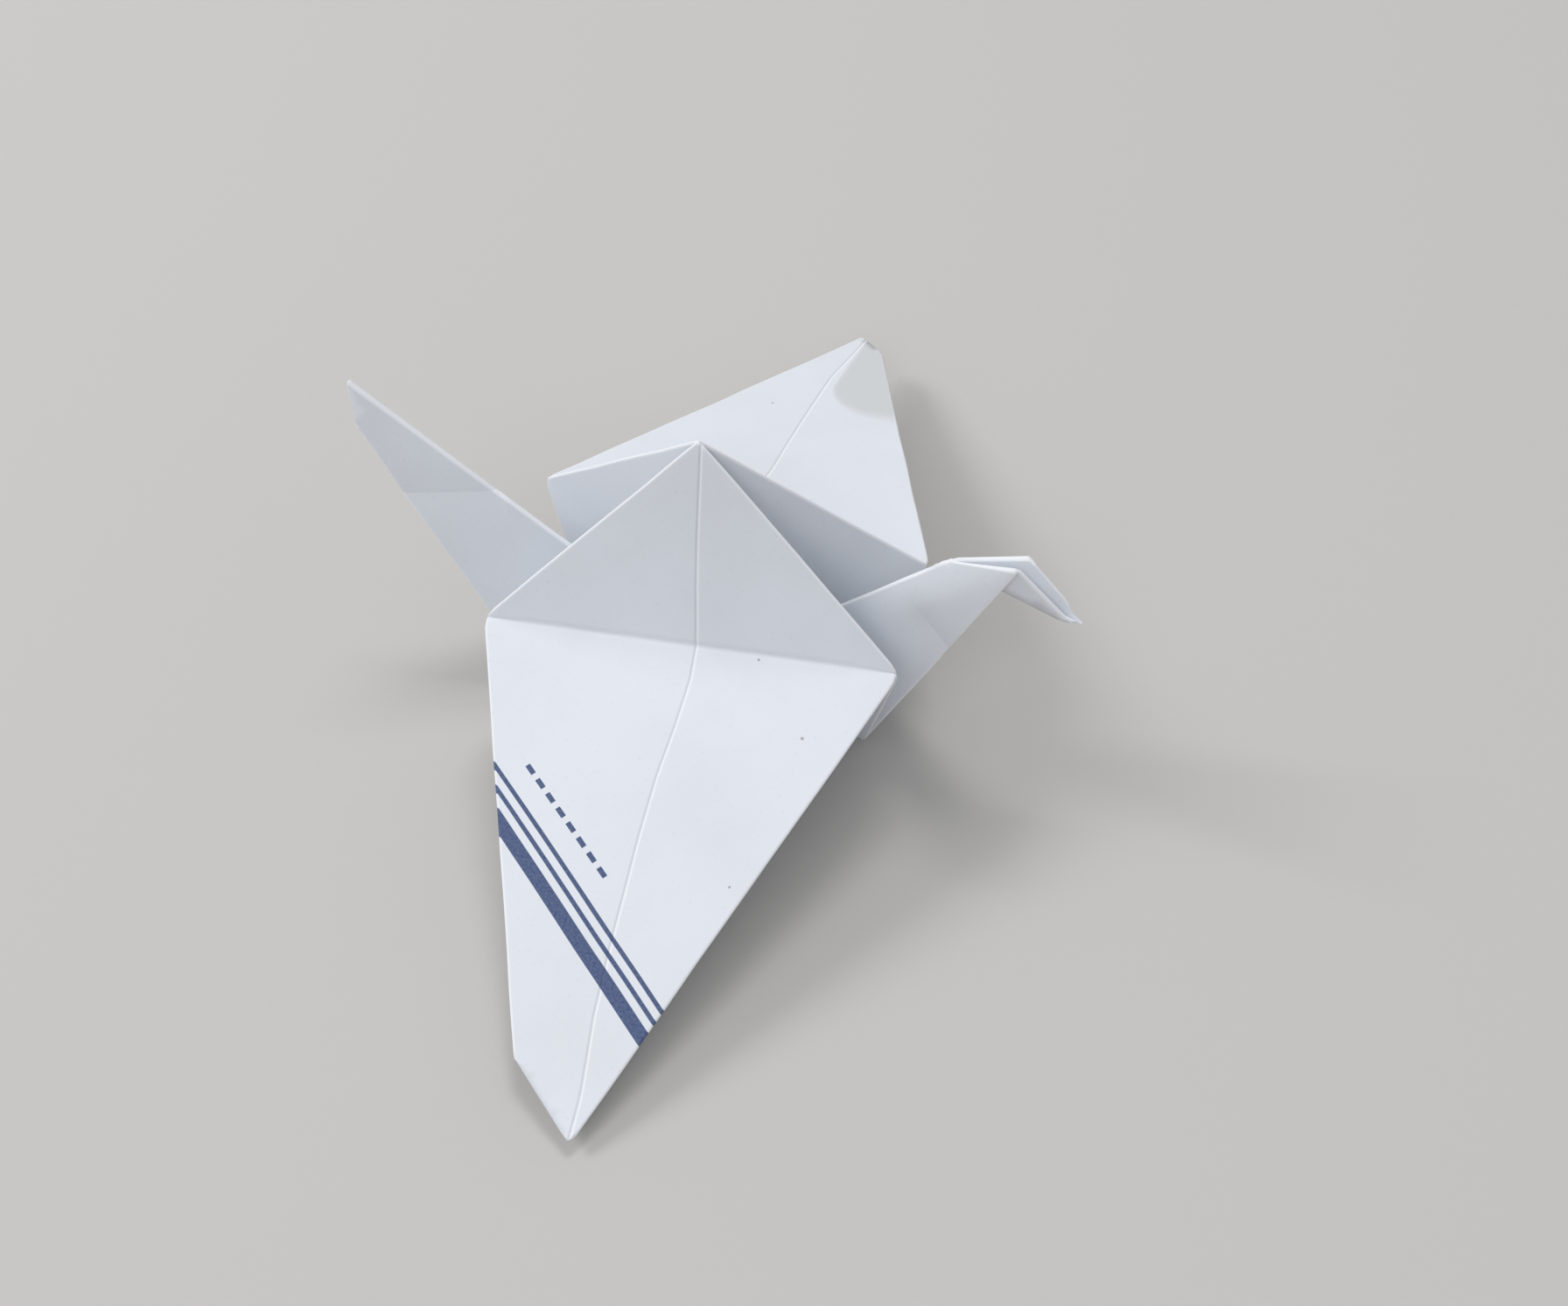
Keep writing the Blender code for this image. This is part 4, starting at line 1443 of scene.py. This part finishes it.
    def relief(self, paper: ShaderTree, place: SheetPlace) -> Value:
        """Height of the surface, in millimetres.

        Args:
            paper: The material's tree.
            place: The place on the sheet.

        Returns:
            The height.
        """
        height = self.fibre_relief.wave(paper, place) + self.cockle.wave(paper, place)
        height = height + self.groove.share(paper.attribute("crease"))
        for dent in self.dents:
            height = height + dent.height(place.flat) * (1.0 - place.inner)
        return height


@dataclass
class Ripple:
    """Geometry Nodes tree that gives the folded sheet its gentle, uneven surface."""

    height: float = 0.00016
    size: float = 0.013
    seed: float = 7.0
    detail: float = 1.0

    def tree(self) -> tuple[bpy.types.NodeTree, dict[str, str]]:
        """Build the tree.

        Returns:
            The tree, and the identifiers of its inputs by name.
        """
        tree = bpy.data.node_groups.new("paper_ripple", "GeometryNodeTree")
        sockets = (("Geometry", "NodeSocketGeometry"), ("Ripple Height", "NodeSocketFloat"),
                   ("Ripple Size", "NodeSocketFloat"), ("Seed", "NodeSocketFloat"),
                   ("Lowest", "NodeSocketVector"), ("Highest", "NodeSocketVector"),
                   ("Paper", "NodeSocketMaterial"))
        names = {name: tree.interface.new_socket(name, in_out="INPUT", socket_type=kind).identifier
                 for name, kind in sockets}
        tree.interface.new_socket("Geometry", in_out="OUTPUT", socket_type="NodeSocketGeometry")
        ripple = NodeTree(tree)
        given = ripple.node("NodeGroupInput").outputs
        start = ripple.node("GeometryNodeInputPosition").outputs[0]
        fineness = 1.0 / Value(ripple, given["Ripple Size"])
        noise = ripple.node("ShaderNodeTexNoise", {"noise_dimensions": "4D"}, {
            "Vector": start, "Scale": fineness, "W": given["Seed"], "Detail": self.detail})
        mean, swing = (0.5, 0.5, 0.5), 2.0
        centred = ripple.vector("SUBTRACT", noise.outputs["Color"], mean)
        offset = ripple.vector("SCALE", centred, given["Ripple Height"])
        moved = ripple.vector("ADD", start, ripple.vector("SCALE", offset, swing))
        moved = ripple.vector("MAXIMUM", moved, given["Lowest"])
        moved = ripple.vector("MINIMUM", moved, given["Highest"])
        shaped = ripple.node("GeometryNodeSetPosition", None,
                             {"Geometry": given["Geometry"], "Position": moved})
        real = ripple.node("GeometryNodeRealizeInstances", None, {0: shaped.outputs[0]})
        dressed = ripple.node("GeometryNodeSetMaterial", None,
                              {"Geometry": real.outputs[0], "Material": given["Paper"]})
        ripple.node("NodeGroupOutput", None, {0: dressed.outputs[0]})
        return tree, names

    def apply(self, piece: bpy.types.Object, box: np.ndarray, paper: bpy.types.Material) -> None:
        """Run the tree on a piece and keep the result as its plain mesh.

        Args:
            piece: The piece.
            box: Lowest and highest corner that it may reach.
            paper: Its material.
        """
        tree, names = self.tree()
        modifier = piece.modifiers.new("ripple", "NODES")
        modifier.node_group = tree
        values = {"Ripple Height": self.height, "Ripple Size": self.size, "Seed": self.seed,
                  "Lowest": box[0].tolist(), "Highest": box[1].tolist(), "Paper": paper}
        for name, value in values.items():
            modifier[names[name]] = value
        shown = piece.evaluated_get(bpy.context.evaluated_depsgraph_get())
        mesh = bpy.data.meshes.new_from_object(shown)
        piece.modifiers.remove(modifier)
        old, piece.data = piece.data, mesh
        bpy.data.meshes.remove(old)
        mesh.name = piece.name


@dataclass
class FoldedSheet:
    """The whole crane: one folded sheet of paper."""

    pattern: FoldPattern = field(default_factory=FoldPattern)
    finish: PaperFinish = field(default_factory=PaperFinish)
    ripple: Ripple = field(default_factory=Ripple)
    chart: Chart = field(default_factory=Chart)
    # Width of the whitening along the folds: wear with a painted highlight.
    fold_wear_and_highlight: float = 0.00027
    # Millimetres from the middle along the wings, and the crease's offset towards the neck.
    crease_line: tuple = (
        (-78.0, 0.18), (-75.9, 0.18), (-72.0, 0.26), (-63.8, -0.34), (-54.5, -0.43),
        (-45.5, -0.28), (-37.8, 0.09), (-32.5, 0.65), (-26.75, 1.08), (-21.4, 0.80),
        (-14.4, 0.57), (-9.3, 0.38), (0.0, 0.30), (9.0, 0.25), (35.9, 0.21), (42.8, -0.03),
        (52.9, -0.36), (62.4, -0.46), (76.1, 0.58), (78.0, 0.60))

    def build(self) -> bpy.types.Object:
        """Make the sheet as a closed mesh, placed on the CAD solid.

        Returns:
            The object.
        """
        box = np.array(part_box("folded_sheet"))
        points, triangles = FlatSheet(self.pattern).triangulate()
        piece = bpy.data.objects.new("crane_paper", self.closed_mesh(points, triangles, box))
        bpy.context.scene.collection.objects.link(piece)
        self.ripple.apply(piece, box, self.finish.material(self.chart))
        LOG.info("folded sheet: %d faces", len(piece.data.polygons))
        return piece

    def closed_mesh(self, points: np.ndarray, triangles: np.ndarray,
                    box: np.ndarray) -> bpy.types.Mesh:
        """Fold the flat sheet and give it the paper's thickness.

        Args:
            points: Flat points, in metres.
            triangles: Their triangles.
            box: Lowest and highest corner of the solid.

        Returns:
            The closed mesh, with its chart and marks.
        """
        surface = self.pattern.bend_beak(points, FoldMap(self.pattern)(points))
        surface = self.pattern.press_corners(points, surface)
        offset = vertex_normals(surface, triangles) * self.pattern.sizes.thickness / 2
        vertices = np.vstack((surface + offset, surface - offset))
        vertices += box.mean(axis=0) - (vertices.min(axis=0) + vertices.max(axis=0)) / 2
        vertices = np.clip(vertices, box[0], box[1])
        count = len(points)
        faces = [tuple(int(i) for i in t) for t in triangles]
        faces += [(t[0] + count, t[2] + count, t[1] + count) for t in faces]
        rim = rim_edges(triangles)
        faces += [(end, start, start + count, end + count) for start, end in rim]
        mesh = bpy.data.meshes.new("crane_paper")
        mesh.from_pydata(vertices.tolist(), [], faces)
        smooth = [True] * (2 * len(triangles)) + [False] * len(rim)
        mesh.polygons.foreach_set("use_smooth", smooth)
        self.chart.write(mesh, points, 2 * len(triangles))
        self.mark(mesh, points)
        return mesh

    def mark(self, mesh: bpy.types.Mesh, points: np.ndarray) -> None:
        """Write the folds' whitening, which is wear with a painted highlight, and the distance
        from the long crease, which places its painted shadow, highlight and groove.

        Args:
            mesh: The closed mesh.
            points: Flat points, in metres.
        """
        flat = self.pattern.flat
        nearest = np.full(len(points), np.inf)
        for start, end in self.pattern.folds():
            if not (start.endswith("shoulder") and end.endswith("shoulder")):
                nearest = np.minimum(nearest, distance_to(points, flat[start], flat[end]))
        line = np.array(self.crease_line)
        across_wings, along_wings = (points * MILLIMETRES).T
        crease = across_wings - np.interp(along_wings, line[:, 0], line[:, 1])
        marks = {"fold": np.clip(1 - nearest / self.fold_wear_and_highlight, 0, 1), "crease": crease}
        for name, values in marks.items():
            layer = mesh.attributes.new(name, "FLOAT", "POINT")
            layer.data.foreach_set("value", np.tile(values, 2).astype(np.float32))


@dataclass(frozen=True)
class Lamp:
    """A soft square lamp aimed at the crane."""

    name: str
    place: tuple
    size: float
    power: float
    colour: tuple

    def add(self, target: Vector) -> None:
        """Hang the lamp and aim it.

        Args:
            target: The point it shines at.
        """
        light = bpy.data.lights.new(self.name, "AREA")
        light.shape, light.size = "SQUARE", self.size
        light.energy, light.color = self.power, self.colour
        lamp = bpy.data.objects.new(self.name, light)
        lamp.location = self.place
        lamp.rotation_euler = (target - Vector(self.place)).to_track_quat("-Z", "Y").to_euler()
        bpy.context.scene.collection.objects.link(lamp)


@dataclass
class Studio:
    """Plain pale floor, soft lamps, even surroundings and the camera."""

    floor_size: float = 3.0
    floor_colour: tuple = (0.60, 0.585, 0.56, 1.0)
    floor_roughness: float = 0.9
    floor_gloss: float = 0.1
    ambient: tuple = (0.425, 0.435, 0.455, 1.0)
    backdrop: tuple = (0.74, 0.75, 0.76, 1.0)
    aim: tuple = (0.0, 0.0, 0.015)
    lamps: tuple = (
        Lamp("ceiling", (0.0, 0.45, 1.12), size=0.40, power=3.5, colour=(1.0, 0.99, 0.98)),
        Lamp("window", (-0.95, 0.0, 0.80), size=0.40, power=5.3, colour=(0.99, 0.99, 1.0)),
        Lamp("room", (0.0, -0.90, 0.80), size=0.60, power=2.2, colour=(0.98, 0.99, 1.0)),
    )
    eye: tuple = (0.05246, -0.15820, 0.17477)
    right: tuple = (0.96589, 0.25869, -0.01145)
    up: tuple = (-0.17647, 0.68998, 0.70198)
    back: tuple = (0.18949, -0.67602, 0.71210)
    lens: float = 48.33
    sensor: float = 36.0
    nearest_seen: float = 0.005

    def build(self) -> None:
        """Set up everything around the crane."""
        self.add_floor()
        for lamp in self.lamps:
            lamp.add(Vector(self.aim))
        self.add_world()
        self.add_camera()
        bpy.context.scene.view_settings.view_transform = "Standard"
        LOG.info("studio: %d lamps", len(self.lamps))

    def add_floor(self) -> None:
        """Lay the floor just under the crane."""
        half = self.floor_size / 2
        corners = [(-half, -half, 0), (half, -half, 0), (half, half, 0), (-half, half, 0)]
        mesh = bpy.data.meshes.new("floor")
        mesh.from_pydata(corners, [], [(0, 1, 2, 3)])
        finish = ShaderTree("pale_floor")
        finish.feed(finish.surface["Base Color"], self.floor_colour)
        finish.feed(finish.surface["Roughness"], self.floor_roughness)
        finish.feed(finish.surface["Specular IOR Level"], self.floor_gloss)
        mesh.materials.append(finish.material)
        floor = bpy.data.objects.new("floor", mesh)
        bpy.context.scene.collection.objects.link(floor)

    def add_world(self) -> None:
        """Light the crane evenly from all sides, and show the camera a pale backdrop."""
        world = bpy.data.worlds.new("surroundings")
        world.use_nodes = True
        around = NodeTree(world.node_tree)
        lit, output = (around.tree.nodes[name] for name in ("Background", "World Output"))
        around.feed(lit.inputs["Color"], self.ambient)
        seen = around.node("ShaderNodeBackground", None, {"Color": self.backdrop})
        path = around.node("ShaderNodeLightPath")
        mix = around.node("ShaderNodeMixShader", None, {
            0: path.outputs["Is Camera Ray"], 1: lit.outputs[0], 2: seen.outputs[0]})
        around.feed(output.inputs["Surface"], mix.outputs[0])
        bpy.context.scene.world = world

    def add_camera(self) -> None:
        """Place the camera at the photograph's viewing angle."""
        data = bpy.data.cameras.new("camera")
        data.lens, data.sensor_width, data.sensor_fit = self.lens, self.sensor, "HORIZONTAL"
        data.clip_start = self.nearest_seen
        camera = bpy.data.objects.new("camera", data)
        axes = Matrix((self.right, self.up, self.back)).transposed().to_4x4()
        camera.matrix_world = Matrix.Translation(self.eye) @ axes
        bpy.context.scene.collection.objects.link(camera)
        bpy.context.scene.camera = camera


def main() -> None:
    """Build the crane and its studio, and report each piece."""
    logging.basicConfig(level=logging.INFO, format="%(name)s: %(message)s")
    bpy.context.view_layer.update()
    sheet = FoldedSheet().build()
    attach(sheet, "root")
    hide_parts("folded_sheet")
    Studio().build()


if __name__ == "__main__":
    main()
